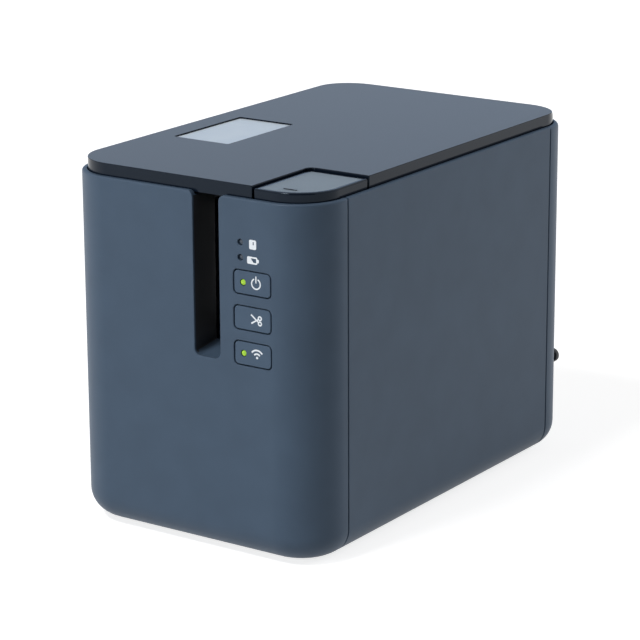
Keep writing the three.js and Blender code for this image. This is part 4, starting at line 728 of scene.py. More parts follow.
def reversed_stretch(stretch):
    """The same stretch of path walked the other way."""
    return tuple(part[::-1] for part in stretch)


# %% Four covers
front_wall = carried("front_cover_shell", [
    seam_end(-SIDE, front_high.y, -1, -1),
    bend(-SIDE + CORNER_FRONT, FRONT + CORNER_FRONT, CORNER_FRONT, math.pi),
    bend(SIDE - CORNER_FRONT, FRONT + CORNER_FRONT, CORNER_FRONT, 1.5 * math.pi),
    reversed_stretch(seam_end(SIDE, front_high.y, -1, 1))], wall_section(RIM_ROUND))
rear_wall = carried("rear_cover_shell", [
    seam_end(SIDE, rear_low.y, 1, 1),
    bend(SIDE - CORNER_REAR, REAR - CORNER_REAR, CORNER_REAR, 0),
    bend(-SIDE + CORNER_REAR, REAR - CORNER_REAR, CORNER_REAR, 0.5 * math.pi),
    reversed_stretch(seam_end(-SIDE, rear_low.y, 1, -1))], wall_section(REAR_RIM_ROUND))

SIDE_RIBS, RIB_DEPTH, RIB_HALF = 3, 2.4 * MM, 0.8 * MM
SIDE_RIB_TOP = RIM - 9.7 * MM
for side, name in ((1, "right_side"), (-1, "left_side")):
    start, end = (side_low.y, side_high.y)[::side]
    wall = carried(name + "_shell", [
        seam_end(side * SIDE, start, side, side),
        reversed_stretch(seam_end(side * SIDE, end, -side, side))], wall_section(SIDE_RIM_ROUND))
    left, right = sorted((side * (SIDE - WALL - RIB_DEPTH), side * (SIDE - WALL / 2)))
    for i in range(SIDE_RIBS):
        y = side_low.y + (i + 1) / (SIDE_RIBS + 1) * (side_high.y - side_low.y)
        rib = block("side_rib", (left, y - RIB_HALF, BASE + UNDER), (right, y + RIB_HALF, SIDE_RIB_TOP))
        combine(wall, [rib], "UNION")
    fit(wall, cover_plastic, name + "_cover")

# %% [markdown]
# The front cover still needs its openings. The slot is open at the top, so its outline is a tall
# rectangle that spreads at the rim in two inner corners. Behind the wall it becomes a short chute
# whose floor climbs, which one stack of that outline gives by raising its lower edge on the way in.

# %% Cutters for the slot, the keys and the lights
PAST = 1 * MM
SLOT_LEFT, SLOT_RIGHT, SLOT_FLOOR = 4 * MM, 16 * MM, 77.8 * MM
SLOT_ROUND, SLOT_SPREAD = 2.6 * MM, 6 * MM
CHUTE_WALL, CHUTE_DEPTH, CHUTE_RISE, CHUTE_TOP = 1.5 * MM, 12 * MM, 3 * MM, RIM - 1.8 * MM
KEY_GAP, KEY_ROUND, KEY_FLANGE = 0.35 * MM, 1.7 * MM, 1.1 * MM


def eased_levels(start, surface, ease):
    """Depths and widenings of a cutter that comes out to a surface: straight, then rounded open."""
    cosine, sine = quarter(4)
    levels = [(start, 0.0)]
    levels += list(zip(surface - ease + ease * sine, ease - ease * cosine))
    return np.array(levels + [(surface + PAST, ease)])


def opening(name, corners, start, surface, ease, facing=None, steps=8):
    """Cutter with the section of an outline, from start to just past a surface, widening there."""
    levels = eased_levels(start, surface, ease)
    grid = stacked([outline(corners, -wide, steps) for _, wide in levels], levels[:, 0])
    return skin(name, facing(grid) if facing else grid)


def slot_cutter(rim_gap=0.02 * MM, behind=0.5 * MM):
    """Slot outline stacked from the back of the chute to the front, widening at the surface."""
    top = RIM + rim_gap
    corners = [(SLOT_LEFT, SLOT_FLOOR, SLOT_ROUND), (SLOT_RIGHT, SLOT_FLOOR, SLOT_ROUND),
               (SLOT_RIGHT, top, SLOT_ROUND), (SLOT_RIGHT + SLOT_SPREAD, top, 0),
               (SLOT_RIGHT + SLOT_SPREAD, top + SLOT_SPREAD, 0),
               (SLOT_LEFT - SLOT_SPREAD, top + SLOT_SPREAD, 0),
               (SLOT_LEFT - SLOT_SPREAD, top, 0), (SLOT_LEFT, top, SLOT_ROUND)]
    widens = np.array([1, 1, 0, 0, 0, 0, 0, 1])
    climbs = np.array([1, 0, 0, 0, 0, 0, 0, 0])
    back = -FRONT - WALL - CHUTE_DEPTH
    levels = [(back - behind, 0, CHUTE_RISE), (back, 0, CHUTE_RISE), (-FRONT - WALL, 0, 0)]
    levels += [(depth, wide, 0) for depth, wide in eased_levels(-FRONT - WALL / 2, -FRONT, EASE)]
    lines = [outline(corners, -wide * widens + rise * climbs) for _, wide, rise in levels]
    return skin("slot_tool", facing_front(stacked(lines, [level[0] for level in levels])))


def panel_cutter(corners):
    """Rounded opening through the front wall."""
    return opening("panel_tool", corners, -FRONT - WALL - PAST, -FRONT, EASE, facing_front)


# %% Chute, bosses and openings of the front cover
chute = block("chute_block", (SLOT_LEFT - CHUTE_WALL, FRONT + WALL / 2, SLOT_FLOOR - CHUTE_WALL),
              (SLOT_RIGHT + CHUTE_WALL, FRONT + WALL + CHUTE_DEPTH, CHUTE_TOP))
BOARD_BOSSES = [(38 * MM, 125.5 * MM), (24 * MM, 72 * MM)]
BOSS_RADIUS, BOSS_ENDS = 2.6 * MM, (FRONT + 1.5 * MM, FRONT + 9.7 * MM)
HOLE_RADIUS, HOLE_ENDS = 0.9 * MM, (FRONT + 3 * MM, FRONT + 11 * MM)
bosses = [rod("boss", (x, 0, z), BOSS_RADIUS, *BOSS_ENDS, "y") for x, z in BOARD_BOSSES]
combine(front_wall, [chute] + bosses, "UNION")
tools = [slot_cutter()]
tools += [rod("boss_hole", (x, 0, z), HOLE_RADIUS, *HOLE_ENDS, "y") for x, z in BOARD_BOSSES]

key_names = ["power_key", "feed_cut_key", "wireless_key"]
key_faces = {}
for name in key_names:
    low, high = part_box(name)
    x0, x1, z0, z1 = low.x + KEY_FLANGE, high.x - KEY_FLANGE, low.z + KEY_FLANGE, high.z - KEY_FLANGE
    key_faces[name] = (x0, x1, z0, z1)
    around = rectangle(x0 - KEY_GAP, x1 + KEY_GAP, z0 - KEY_GAP, z1 + KEY_GAP, KEY_ROUND + KEY_GAP)
    tools.append(panel_cutter(around))
LIGHT_HOLE = 1.2 * MM
for name in ("status_light", "battery_light"):
    x, _, z = middle(name, "y")
    tools.append(panel_cutter(
        rectangle(x - LIGHT_HOLE, x + LIGHT_HOLE, z - LIGHT_HOLE, z + LIGHT_HOLE, LIGHT_HOLE)))
combine(front_wall, tools)
fit(front_wall, cover_plastic, "front_cover")


def painted_shade_chute_sides(normals, centres):
    """The chute's two side walls, behind the middle of the front wall and above the slot's floor; they
    take the dark plastic as painted shade.
    """
    across, depth, height = centres.T
    margin, sideways = 0.1 * MM, 0.7
    between = (across > SLOT_LEFT - margin) & (across < SLOT_RIGHT + margin)
    facing = np.abs(normals[:, 0]) > sideways
    return between & facing & (depth > FRONT + WALL / 2) & (height > SLOT_FLOOR)


# The dark plastic on the chute's side walls is painted shade for the shadow deep in the slot, while the
# slot's floor keeps the cover's colour.
second_finish(front_wall, dark_plastic, painted_shade_chute_sides)

# %% [markdown]
# The rear cover has what such covers have: a row of upright louvres halfway up its wall, two
# openings for the sockets and a hole for the hook.

# %% Rear openings
LOUVRES, LOUVRE_PITCH, LOUVRE_HALF, LOUVRE_ROUND = 6, 7 * MM, 1 * MM, 0.95 * MM
LOUVRE_LOW, LOUVRE_HIGH = BASE + 52 * MM, BASE + 82 * MM
PORT_MARGIN, PORT_ROUND = 0.5 * MM, 0.8 * MM
HOOK_BORE, HOOK_LENGTH = 2.3 * MM, 16 * MM


def rear_cutter(corners, ease=0.3 * MM, behind=4 * MM):
    """Rounded opening through the rear wall."""
    return opening("rear_tool", corners, REAR - WALL - behind, REAR, ease, facing_back)


rear_tools = []
for i in range(LOUVRES):
    x = (i - (LOUVRES - 1) / 2) * LOUVRE_PITCH
    rear_tools.append(rear_cutter(
        rectangle(x - LOUVRE_HALF, x + LOUVRE_HALF, LOUVRE_LOW, LOUVRE_HIGH, LOUVRE_ROUND)))
for node in ("usb_port", "dc_inlet"):
    low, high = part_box(node)
    rear_tools.append(rear_cutter(
        rectangle(-high.x - PORT_MARGIN, -low.x + PORT_MARGIN, low.z - PORT_MARGIN,
                  high.z + PORT_MARGIN, PORT_ROUND)))
rear_tools.append(rod("hook_tool", middle("cord_hook", "y"), HOOK_BORE, REAR - HOOK_LENGTH,
                      REAR + PAST, "y"))
combine(rear_wall, rear_tools)
fit(rear_wall, cover_plastic, "rear_cover")

# %% [markdown]
# ## The lid
# The lid is a shallow tray upside down. One outline with a stepped corner draws its top, its edge
# and its hollow, so the whole tray is a single stack that starts at the ceiling, goes down inside,
# turns over at the foot and comes up outside. At the rear the edge is a half round about the hinge
# axis, with the inset R - sqrt(R^2 - h^2) at the height h from that axis.

# %% The lid's outline and its insets
lid_low, lid_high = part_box("top_cover")
LID_WALL, LID_SKIN, LID_BEVEL = 1.8 * MM, 2.2 * MM, 0.3 * MM
LID_INSET = WALL + 0.3 * MM
BUTTON_GAP = 0.9 * MM
CUT_BEVEL, CUT_TIP, CUT_ROUND = 0.4 * MM, 0.4 * MM, 3 * MM
LID_SEAT = 140.4 * MM
button_low, button_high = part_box("release_button")
cut_x, cut_y = button_low.x - BUTTON_GAP, button_high.y + BUTTON_GAP
HINGE_R = (lid_high.z - LID_SEAT) / 2
HINGE_AT = (lid_high.y - HINGE_R, lid_high.z - HINGE_R)
LID_FOOT, FOOT_EASE = lid_high.z - 2 * HINGE_R, 0.7 * MM

lid_corners = [
    (lid_low.x, lid_low.y, CORNER_FRONT - LID_INSET), (cut_x, lid_low.y, CUT_TIP),
    (cut_x, cut_y, CUT_ROUND), (lid_high.x, cut_y, CUT_TIP),
    (lid_high.x, lid_high.y, CORNER_REAR - LID_INSET), (lid_low.x, lid_high.y, CORNER_REAR - LID_INSET)]
OPEN_EDGES = np.array([1, 0, 0, 1, 0, 1])
CUT_EDGES = np.array([0, 1, 1, 0, 0, 0])
REAR_EDGE = np.array([0, 0, 0, 0, 1, 0])


def round_over(height, top, radius):
    """Inset of a rounded top edge: R - sqrt(R^2 - h^2), with h measured from where it starts."""
    h = np.clip(height - (top - radius), 0, radius)
    return radius - np.sqrt(radius ** 2 - h ** 2)


def lid_insets(height):
    """Insets of the six edges at one height."""
    rear = HINGE_R - math.sqrt(max(HINGE_R ** 2 - (height - HINGE_AT[1]) ** 2, 0))
    foot = FOOT_EASE * (height <= LID_FOOT)
    return (OPEN_EDGES * (round_over(height, lid_high.z, LID_BEVEL) + foot) + REAR_EDGE * rear
            + CUT_EDGES * (round_over(height, lid_high.z, CUT_BEVEL) + foot))


swing = HINGE_AT[1] + HINGE_R * np.sin(np.linspace(-math.pi / 2, math.pi / 2, 15))
turn_over = lid_high.z - LID_BEVEL + LID_BEVEL * np.sin(np.linspace(0, math.pi / 2, 7))
cut_over = lid_high.z - CUT_BEVEL + CUT_BEVEL * np.sin(np.linspace(0, math.pi / 2, 5))
lid_heights = np.unique(np.round(np.concatenate([swing, turn_over, cut_over, [LID_FOOT + FOOT_EASE]]), 7))
REAR_WALL = 2 * HINGE_R + 0.4 * MM
hollow = OPEN_EDGES * LID_WALL + CUT_EDGES * LID_WALL + REAR_EDGE * REAR_WALL
ceiling = lid_high.z - LID_SKIN
sections = [outline(lid_corners, hollow), outline(lid_corners, hollow)]
sections += [outline(lid_corners, lid_insets(z)) for z in lid_heights]
lid = skin("lid_shell", stacked(sections, np.concatenate([[ceiling, LID_FOOT], lid_heights])))
print("lid sections:", len(sections))

# %% [markdown]
# The window sits in a rebate, a step that holds the pane flush. Ribs stiffen the tray and a catch
# hangs down for the latch. Two hollows under the rear edge take the hinge lugs: a thin skin of the
# lid runs on over them, so from above the edge is unbroken.

# %% Ribs and catch of the lid
pane_low, pane_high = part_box("viewer_window")
RIB_BEHIND_PANE, LID_RIB_HALF, RIB_INSET = (14.15 * MM, 44.15 * MM), 0.7 * MM, 1 * MM
RIB_FOOT, RIB_TOP = LID_FOOT + 0.8 * MM, ceiling + 0.4 * MM
MIDDLE_RIB_END = HINGE_AT[0] - 4 * MM
CATCH_LEFT, CATCH_RIGHT, CATCH_FOOT = 39.7 * MM, 48.3 * MM, 138.4 * MM
CATCH_FRONT, CATCH_REAR = cut_y + 6.6 * MM, cut_y + 8.6 * MM

ribs = [block("rib", (lid_low.x + RIB_INSET, y - LID_RIB_HALF, RIB_FOOT),
              (lid_high.x - RIB_INSET, y + LID_RIB_HALF, RIB_TOP))
        for y in (pane_high.y + behind for behind in RIB_BEHIND_PANE)]
ribs.append(block("middle_rib", (-LID_RIB_HALF, lid_low.y + RIB_INSET, RIB_FOOT),
                  (LID_RIB_HALF, MIDDLE_RIB_END, RIB_TOP)))
ribs.append(block("catch", (CATCH_LEFT, CATCH_FRONT, CATCH_FOOT), (CATCH_RIGHT, CATCH_REAR, RIB_TOP)))
combine(lid, ribs, "UNION")

# %% Window opening and hinge hollows
PANE_GAP, LEDGE, REBATE_ROUND, REBATE_EASE = 0.3 * MM, 1.4 * MM, 1 * MM, 0.12 * MM
REBATE_FLOOR = pane_low.z - 0.1 * MM
rebate = rectangle(pane_low.x - PANE_GAP, pane_high.x + PANE_GAP, pane_low.y - PANE_GAP,
                   pane_high.y + PANE_GAP, REBATE_ROUND)
inner_reach = PANE_GAP - LEDGE
lid_tools = [opening("rebate_tool", rebate, REBATE_FLOOR, lid_high.z, REBATE_EASE, steps=6),
             block("window_hole", (pane_low.x - inner_reach, pane_low.y - inner_reach, LID_FOOT - PAST),
                   (pane_high.x + inner_reach, pane_high.y + inner_reach, lid_high.z))]

HINGE_X, LUG_HALF, LUG_ROOM = 38 * MM, 3.4 * MM, HINGE_R - 0.6 * MM
PIN_BORE, PIN_HALF = 1.5 * MM, 7.5 * MM
hinge_y, hinge_z = HINGE_AT
LUG_ROOM_PARTS = [(hinge_y - HINGE_R - 0.4 * MM, hinge_y, hinge_z + LUG_ROOM),
                  (hinge_y - 0.1 * MM, REAR, hinge_z),
                  (hinge_y + LUG_ROOM * 0.7, REAR, hinge_z + LUG_ROOM * 0.85)]
for x in (-HINGE_X, HINGE_X):
    room = rod("lug_room", (0, *HINGE_AT), LUG_ROOM, x - LUG_HALF, x + LUG_HALF, "x")
    combine(room, [block("room_part", (x - LUG_HALF, start, LID_FOOT - PAST), (x + LUG_HALF, end, top))
                   for start, end, top in LUG_ROOM_PARTS], "UNION")
    lid_tools += [room, rod("pin_bore", (0, *HINGE_AT), PIN_BORE, x - PIN_HALF, x + PIN_HALF, "x")]
combine(lid, lid_tools)
fit(lid, lid_plastic, "top_cover")
LEVEL_FACE = 0.9
second_finish(lid, rim_plastic, lambda normals, centres: np.abs(normals[:, 2]) < LEVEL_FACE)

# %% Pane
PANE_ROUND, PANE_EASE = 0.9 * MM, np.array([0, 0.06, 0.2]) * MM
pane_corners = rectangle(pane_low.x, pane_high.x, pane_low.y, pane_high.y, PANE_ROUND)
pane_lines = [outline(pane_corners, inset, steps=6) for inset in (0, *PANE_EASE)]
pane = skin("window_pane", stacked(pane_lines, [pane_low.z, *(pane_high.z - PANE_EASE[::-1])]))
fit(pane, window_pane, "viewer_window")

# %% [markdown]
# ## The release button
# The button fills the lid's stepped corner and follows the lid's own edge on its two outer sides.
# It is a hollow cap with a stem. Its rim is polished and rounded, and inside the rim lies a satin
# plate with a small raised bar that tells the finger where to press.

# %% Button shell, stem and bar
BUTTON_ROUND, BUTTON_TIP, BUTTON_CORNER = 0.8 * MM, 0.5 * MM, 2.4 * MM
BUTTON_CEILING, button_top = lid_high.z - 2.6 * MM, lid_high.z - 0.95 * MM
button_corners = [
    (button_low.x, button_low.y, BUTTON_TIP), (button_high.x, button_low.y, CORNER_FRONT - LID_INSET),
    (button_high.x, button_high.y, BUTTON_TIP), (button_low.x, button_high.y, BUTTON_CORNER)]
BUTTON_OUTER = np.array([1, 1, 0, 0])


def button_line(height):
    """Outline of the button at one height: the outer edges roll over more than the inner ones."""
    foot = FOOT_EASE * (height <= LID_FOOT)
    outer, inner = round_over(height, button_top, BUTTON_ROUND), round_over(height, button_top, CUT_BEVEL)
    return outline(button_corners, BUTTON_OUTER * (outer + foot) + (1 - BUTTON_OUTER) * (inner + foot))


over = button_top - BUTTON_ROUND + BUTTON_ROUND * np.sin(np.linspace(0, math.pi / 2, 9))
button_heights = np.concatenate([[LID_FOOT, LID_FOOT + FOOT_EASE], over])
inner_line = outline(button_corners, LID_WALL)
button = skin("release_button_shell", stacked(
    [inner_line, inner_line] + [button_line(z) for z in button_heights],
    np.concatenate([[BUTTON_CEILING, LID_FOOT], button_heights])))
STEM_X, STEM_Y, STEM_RADIUS, STEM_BEVEL = 44 * MM, FRONT + 28 * MM, 2.5 * MM, 0.3 * MM
stem_top = BUTTON_CEILING + 0.5 * MM
stem = turned("button_stem", [(0, button_low.z), (STEM_RADIUS - STEM_BEVEL, button_low.z),
                              (STEM_RADIUS, button_low.z + STEM_BEVEL), (STEM_RADIUS, stem_top),
                              (0, stem_top)], (STEM_X, STEM_Y, 0))
combine(button, [stem], "UNION")
fit(button, rim_plastic, "release_button")

# %% Satin plate with its bar
PLATE_INSET = BUTTON_OUTER * 1.3 * MM + (1 - BUTTON_OUTER) * 2.0 * MM
PLATE_RISE = 0.04 * MM
plate_levels = button_top + np.array([-0.5 * MM, 0, PLATE_RISE])
plate_lines = [outline(button_corners, PLATE_INSET + inset) for inset in (0, 0, PLATE_RISE)]
plate = skin("button_plate", stacked(plate_lines, plate_levels))
BAR_LEFT, BAR_RIGHT, BAR_ROUND = cut_x + 10 * MM, cut_x + 16 * MM, 0.4 * MM
BAR_FRONT, BAR_REAR = FRONT + 7.9 * MM, FRONT + 8.8 * MM
BAR_INSETS = np.array([0, 0, 0.03, 0.1, 0.2]) * MM
bar_levels = button_top + np.array([-0.5, 0.1, 0.2, 0.27, 0.3]) * MM
bar_corners = rectangle(BAR_LEFT, BAR_RIGHT, BAR_FRONT, BAR_REAR, BAR_ROUND)
bar_lines = [outline(bar_corners, inset, steps=6) for inset in BAR_INSETS]
bar = skin("button_bar", stacked(bar_lines, bar_levels))
combine(plate, [bar], "UNION")
fit(plate, button_plastic, body=body_of("release_button"))

# %% [markdown]
# ## Keys and lights
# Each key is a cap that fills its opening to within half a millimetre, with a flange behind the wall
# that keeps it in and a stem that reaches the switch. Two of them hold a light pipe.

# %% Key caps
KEY_CROWN, KEY_EASE, FLANGE_T, FLANGE_BEVEL = 0.4 * MM, 0.08 * MM, 1 * MM, 0.15 * MM
FLANGE_GAP = 0.3 * MM
KEY_STEM, KEY_STEM_ASIDE = 1.8 * MM, 2 * MM
LIGHT_BORE, LIGHT_BORE_DEPTH = 1.35 * MM, 6 * MM
KEY_LIGHTS = {"power_key": "power_key_light", "wireless_key": "wireless_key_light"}


def key_cap(name):
    """Cap, flange and stem of one key, stacked from the rear to its face."""
    low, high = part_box(name)
    x0, x1, z0, z1 = key_faces[name]
    face, back = -low.y, -(FRONT + WALL + FLANGE_GAP)
    cosine, sine = quarter(5)
    levels = [(back - FLANGE_T, FLANGE_BEVEL - KEY_FLANGE), (back - FLANGE_T + FLANGE_BEVEL, -KEY_FLANGE),
              (back, -KEY_FLANGE), (back, 0)]
    levels += list(zip(face - KEY_CROWN + KEY_CROWN * sine, KEY_CROWN - KEY_CROWN * cosine))
    corners = rectangle(x0, x1, z0, z1, KEY_ROUND)
    lines = [outline(corners, KEY_EASE + inset, steps=8) for _, inset in levels]
    cap = skin(name + "_cap", facing_front(stacked(lines, [level for level, _ in levels])))
    behind = ((x0 + x1) / 2 + KEY_STEM_ASIDE, 0, (z0 + z1) / 2)
    combine(cap, [rod("key_stem", behind, KEY_STEM, FLANGE_T / 2 - back, high.y, "y")], "UNION")
    if name in KEY_LIGHTS:
        combine(cap, [rod("light_hole", middle(KEY_LIGHTS[name], "y"), LIGHT_BORE, low.y - PAST,
                          low.y + LIGHT_BORE_DEPTH, "y")])
    return fit(cap, key_plastic, name)


for name in key_names:
    key_cap(name)

# %% Light pipes
PIPE_RADIUS, DOME_RISE, PIPE_SUNK = 1.05 * MM, 0.25 * MM, 0.35 * MM
COLLAR_RADIUS, COLLAR_START, COLLAR_END = 1.9 * MM, FRONT + WALL + 0.1 * MM, FRONT + WALL + 1 * MM


def lens(node, name, material, sunk=0.0, collar=False):
    """Light pipe with a domed face; a collar behind the wall holds the separate ones.

    The dome's radius is R cos a at the depth rise (1 - sin a), a from 90 down to 0 degrees."""
    low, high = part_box(node)
    a = np.linspace(0, math.pi / 2, 7)[::-1]
    profile = list(zip(PIPE_RADIUS * np.cos(a), low.y + sunk + DOME_RISE * (1 - np.sin(a))))
    if collar:
        profile += [(PIPE_RADIUS, COLLAR_START), (COLLAR_RADIUS, COLLAR_START),
                    (COLLAR_RADIUS, COLLAR_END), (PIPE_RADIUS, COLLAR_END)]
    profile += [(PIPE_RADIUS, high.y), (0, high.y)]
    return fit(turned(name, profile, middle(node, "y"), "y"), material, node)


lens("power_key_light", "power_light_pipe", green_light)
lens("wireless_key_light", "wireless_light_pipe", green_light)
lens("status_light", "status_light_pipe", dark_lens, PIPE_SUNK, collar=True)
lens("battery_light", "battery_light_pipe", dark_lens, PIPE_SUNK, collar=True)

# %% [markdown]
# The white marks are ink with a real, very small thickness. Strokes, arcs and rings are one formula:
# a flat path with a width, given a four-point section at every point. Filled marks are stacked
# outlines. Their places and widths are in millimetres on the front, as a printer would give them.

# %% Strokes and patches of ink
INK = 0.05 * MM


def ink_line(path, width, face, closed=False):
    """Line of ink along a path (x, z), in millimetres, on the face at y = face.

    The section at each point has the corners path -+ width / 2 times the path's normal, just under
    the face and INK in front of it."""
    path = np.asarray(path, float) * MM
    along = np.roll(path, -1, axis=0) - np.roll(path, 1, axis=0) if closed else np.gradient(path, axis=0)
    normal = np.stack([along[:, 1], -along[:, 0]], axis=1) / np.linalg.norm(along, axis=1, keepdims=True)
    reach = normal * np.broadcast_to(np.asarray(width, float) * MM / 2, len(path))[:, None]
    left, right = path - reach, path + reach
    back, front = np.full((len(path), 1), face + INK), np.full((len(path), 1), face - INK)
    corners = [np.hstack([side[:, :1], y, side[:, 1:]]) for side, y in
               ((left, back), (right, back), (right, front), (left, front))]
    return skin("ink", np.stack(corners, axis=1), loop=closed)


def ink_patch(corners, face, steps=6):
    """Filled patch of ink whose corners are (x, z, radius)."""
    line = outline([(x * MM, z * MM, r * MM) for x, z, r in corners], steps=steps)
    return skin("ink", facing_front(stacked([line, line], [-face - INK, -face + INK])))


def arc(x, z, radius, start, end, count=24):
    """Points on an arc from start to end degrees, measured from straight up, clockwise."""
    t = np.radians(np.linspace(start, end, count))
    return np.stack([x + radius * np.sin(t), z + radius * np.cos(t)], axis=1)


def ink_mark(name, node, strokes, holes=()):
    """Joins strokes to one mark, takes the holes out and lets it ride with a node."""
    mark = combine(strokes[0], strokes[1:], "UNION")
    combine(mark, holes)
    mark.name = name
    return fit(mark, white_ink, body=body_of(node))


# %% Marks on the front cover: a small case with a slit, and a battery
case = ink_patch(rectangle(30.0, 33.2, 122.6, 126.2, 0.6), FRONT)
slit = ink_patch(rectangle(31.6, 32.1, 124.3, 125.5, 0.1), FRONT)
ink_mark("status_mark", "front_cover", [case], [slit])
battery = [ink_patch(rectangle(29.0, 33.6, 117.0, 119.8, 0.5), FRONT),
           ink_patch(rectangle(33.3, 34.3, 117.7, 119.1, 0.4), FRONT)]
wedge = ink_patch([(31.9, 117.6, 0), (33.1, 117.6, 0), (33.1, 119.2, 0), (30.6, 119.2, 0)], FRONT, 1)
ink_mark("battery_mark", "front_cover", battery, [wedge])

# %% Marks on the keys: a broken ring with a bar, scissors, and waves over a dot
power_face, cut_face, wireless_face = (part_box(name)[0].y for name in key_names)
ink_mark("power_mark", "power_key", [
    ink_line(arc(32.8, 109.6, 1.95, 24, 336, 40), 0.55, power_face),
    ink_line([(32.8, 109.9), (32.8, 112.5)], 0.5, power_face)])
blades = [ink_line([(30.4, 97.6), (33.8, 95.0)], (0.65, 0.5), cut_face),
          ink_line([(30.5, 94.2), (33.8, 96.2)], (0.65, 0.5), cut_face)]
handles = [ink_line(arc(34.4, z, 0.7, 0, 345), 0.55, cut_face, closed=True) for z in (96.6, 94.6)]
ink_mark("scissors_mark", "feed_cut_key", blades + handles)
waves = [ink_line(arc(32.95, 81.1, radius, -52, 52), 0.64, wireless_face) for radius in (1.6, 3.0)]
dot = ink_patch(rectangle(32.45, 33.45, 80.7, 81.7, 0.49), wireless_face)
ink_mark("wireless_mark", "wireless_key", waves + [dot])

# %% [markdown]
# ## Round pieces
# Everything round is a stack of cylinders about one axis, each with its own radius and two ends.
# Softening both rims of every length keeps the stack readable and lets each shoulder catch light.

# %% Hook, feet and pins
def spun(node, material, start, *ends, axis="z", soft=0.15 * MM):
    """Stands for a round node: lengths one after another from start, each given as (radius, end).

    Both rims of a length are quarter rounds: radius R - s + s sin a, height start + s - s cos a at
    its start, and the same mirrored at its end."""
    cosine, sine = quarter(3)
    first = start
    rows = []
    for radius, end in ends:
        rows += list(zip(radius - soft + soft * sine, start + soft - soft * cosine))
        rows += list(zip(radius - soft + soft * cosine, end - soft + soft * sine))
        start = end
    piece = turned(node + "_turned", [(0, first)] + rows + [(0, start)], middle(node, axis), axis)
    return fit(piece, material, node)


def plain(node, radius, material, axis="z", soft=0.15 * MM):
    """A round node that is one length of one radius."""
    low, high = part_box(node)
    return spun(node, material, getattr(low, axis), (radius, getattr(high, axis)), axis=axis, soft=soft)


low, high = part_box("cord_hook")
HOOK_HEAD, HOOK_NECK = 3 * MM, 2 * MM
spun("cord_hook", dark_plastic, low.y, (HOOK_HEAD, low.y + 1.4 * MM), (HOOK_NECK, high.y - 2.4 * MM),
     (HOOK_HEAD, high.y), axis="y", soft=0.5 * MM)
for node in (f"foot_{i + 1}" for i in range(4)):
    low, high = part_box(node)
    plain(node, (high.x - low.x) / 2, foot_rubber, soft=0.4 * MM)
plain("holder_pivot_pin", 2 * MM, ground_steel)
for node in ("hinge_pin_left", "hinge_pin_right", "latch_pin"):
    low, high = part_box(node)
    plain(node, (high.z - low.z) / 2, ground_steel, "x")

# %% Platen, feed roller and motors
SHAFT_RADIUS, SHAFT_COLLAR, PLATEN_RADIUS = 1.6 * MM, 2.6 * MM, 5 * MM
CORE_RADIUS, SLEEVE_RADIUS = 2.7 * MM, 3.5 * MM
COLLAR_FOOT, SHAFT_GAP = 1.2 * MM, 0.2 * MM
low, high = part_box("platen_shaft")
roller_foot, roller_top = (corner.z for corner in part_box("platen_roller"))
spun("platen_shaft", ground_steel, low.z, (SHAFT_RADIUS, roller_foot - COLLAR_FOOT),
     (SHAFT_COLLAR, roller_foot - SHAFT_GAP), (SHAFT_RADIUS, high.z))
plain("platen_roller", PLATEN_RADIUS, roller_rubber, soft=0.4 * MM)
low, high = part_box("feed_roller")
half = (roller_top - roller_foot + 1 * MM) / 2
lengths = []
for z in (roller_foot, roller_foot + half):
    lengths += [(SHAFT_RADIUS, z - SHAFT_GAP), (CORE_RADIUS, z), (SLEEVE_RADIUS, z + half - 1.6 * MM),
                (CORE_RADIUS, z + half - 1.2 * MM)]
spun("feed_roller", roller_rubber, low.z, *lengths, (SHAFT_RADIUS, high.z), soft=0.08 * MM)

low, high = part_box("feed_motor")
FEED_FOOT, FEED_CAN, FEED_BOSS, FEED_STEP = 5 * MM, 14 * MM, 4 * MM, 1.5 * MM
spun("feed_motor", plated_sheet, low.z, (FEED_FOOT, low.z + FEED_STEP), (FEED_CAN, high.z - FEED_STEP),
     (FEED_BOSS, high.z), soft=0.5 * MM)
low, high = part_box("cutter_motor")
CUTTER_CAN, CUTTER_BOSS, CUTTER_STEP = 9.5 * MM, 3.2 * MM, 2 * MM
spun("cutter_motor", plated_sheet, low.y, (CUTTER_CAN, high.y - CUTTER_STEP), (CUTTER_BOSS, high.y),
     axis="y", soft=0.4 * MM)

# %% [markdown]
# The button's spring is a round wire carried along a helix, with flat ends to stand on. It shortens as
# the button goes down; here it rides on the body of the measured spring.

# %% Release spring
spring_low, spring_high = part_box("release_spring")


def coil(wire=0.35 * MM, turns=3.5, level=2.1, count=168, around=12):
    """Wire along a helix about the stem; its two ends run level for 2.1 radians, a third of a turn.

    Point (i, j) = axis + (R + w cos b_j) (cos t_i, sin t_i) + (h_i + w sin b_j) z."""
    t = np.linspace(0, turns * 2 * math.pi, count)
    share = np.clip((t - level) / (t[-1] - 2 * level), 0, 1)
    height = spring_low.z + wire + (spring_high.z - spring_low.z - 2 * wire) * share
    b = np.linspace(0, 2 * math.pi, around, endpoint=False)
    reach = (spring_high.x - spring_low.x) / 2 - wire + wire * np.cos(b)[None, :]
    grid = np.stack([STEM_X + reach * np.cos(t)[:, None], STEM_Y + reach * np.sin(t)[:, None],
                     height[:, None] + wire * np.sin(b)[None, :]], axis=-1)
    return skin("release_spring_coil", grid)


spring = fit(coil(), ground_steel, "release_spring")
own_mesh(spring)

# %% [markdown]
# ## The works inside
# The gears, frames, boards and screws keep their measured shapes, which already have involute teeth
# and cut-outs. What a bare model lacks is the small radius that every real edge has, so each piece
# gets a copy with merged corners, flat faces made whole, and its sharp edges rounded.

# %% Copies with rounded edges
FLAT, SHARP = math.radians(0.5), math.radians(35)


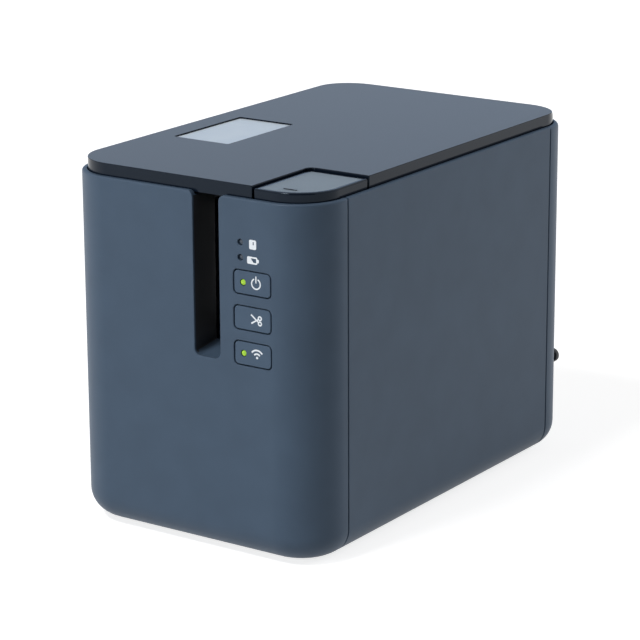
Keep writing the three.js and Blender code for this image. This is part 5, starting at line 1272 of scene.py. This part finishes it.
def finished(node, material, edge):
    """Copy of a measured piece with its sharp edges rounded by edge."""
    source = frame["nodes"][node]
    mesh = source.data.copy()
    mesh.transform(source.matrix_world)
    tidy_mesh(mesh, flat_angle=FLAT)
    piece = bpy.data.objects.new(node + "_finished", mesh)
    bpy.context.scene.collection.objects.link(piece)
    soften = piece.modifiers.new("rounded edges", "BEVEL")
    soften.width, soften.segments = edge, 2
    soften.limit_method, soften.angle_limit = "ANGLE", SHARP
    settle(piece)
    return fit(piece, material, node)


screws = [f"base_screw_{i + 1}" for i in range(4)] + ["board_screw_1", "board_screw_2"]
acetal_works = ["reduction_gear", "idler_gear", "ribbon_spindle", "platen_gear", "cutter_pinion"]
steel_works = ["motor_pinion", "cutter_pivot", "fixed_blade", "moving_blade", "usb_port"]
works = {}
for material, edge, nodes in (
        (dark_plastic, 0.25 * MM, ["base_tray", "tape_sensor", "dc_inlet"]),
        (plated_sheet, 0.12 * MM, ["mechanism_frame", "cutter_frame", "wireless_module"] + screws),
        (natural_acetal, 0.06 * MM, acetal_works),
        (natural_acetal, 0.15 * MM, ["latch_lever", "roller_holder"]),
        (ground_steel, 0.05 * MM, steel_works),
        (drawn_aluminium, 0.1 * MM, ["head_heat_sink"]),
        (glazed_ceramic, 0.05 * MM, ["print_head"]),
        (bay_plastic, 0.2 * MM, ["cassette_bay"]),
        (circuit_board, 0.05 * MM, ["control_board", "main_board"])):
    for node in nodes:
        works[node] = finished(node, material, edge)
print("works finished:", len(works))

# %% [markdown]
# A board and the parts soldered to it are one measured piece. The board keeps its green mask, and
# whatever stands off its two faces is the black moulding of chips, plugs and switches.

# %% Parts on the boards
BOARD_T = 1.5 * MM
SWITCH_STANDS = 4.2 * MM


def off_board(axis, start):
    """Test for faces that lie outside start .. start + BOARD_T along one axis, by a hair."""
    hair = 0.02 * MM
    inside = start + BOARD_T / 2
    return lambda normals, centres: np.abs(centres[:, axis] - inside) > BOARD_T / 2 + hair


chip_black = moulded("chip_black", tone(30, 31, 33), 0.4, depth=0.01 * MM)
board_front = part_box("control_board")[0].y + SWITCH_STANDS
second_finish(works["control_board"], chip_black, off_board(1, board_front))
second_finish(works["main_board"], chip_black, off_board(2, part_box("main_board")[0].z))

# %% [markdown]
# ## The finished model
# The box round everything that is shown should be the measured one, so its size is printed here.

# %% Size of the model
low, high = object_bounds()
print("visual box, mm:", [round((b - a) / MM, 1) for a, b in zip(low, high)])
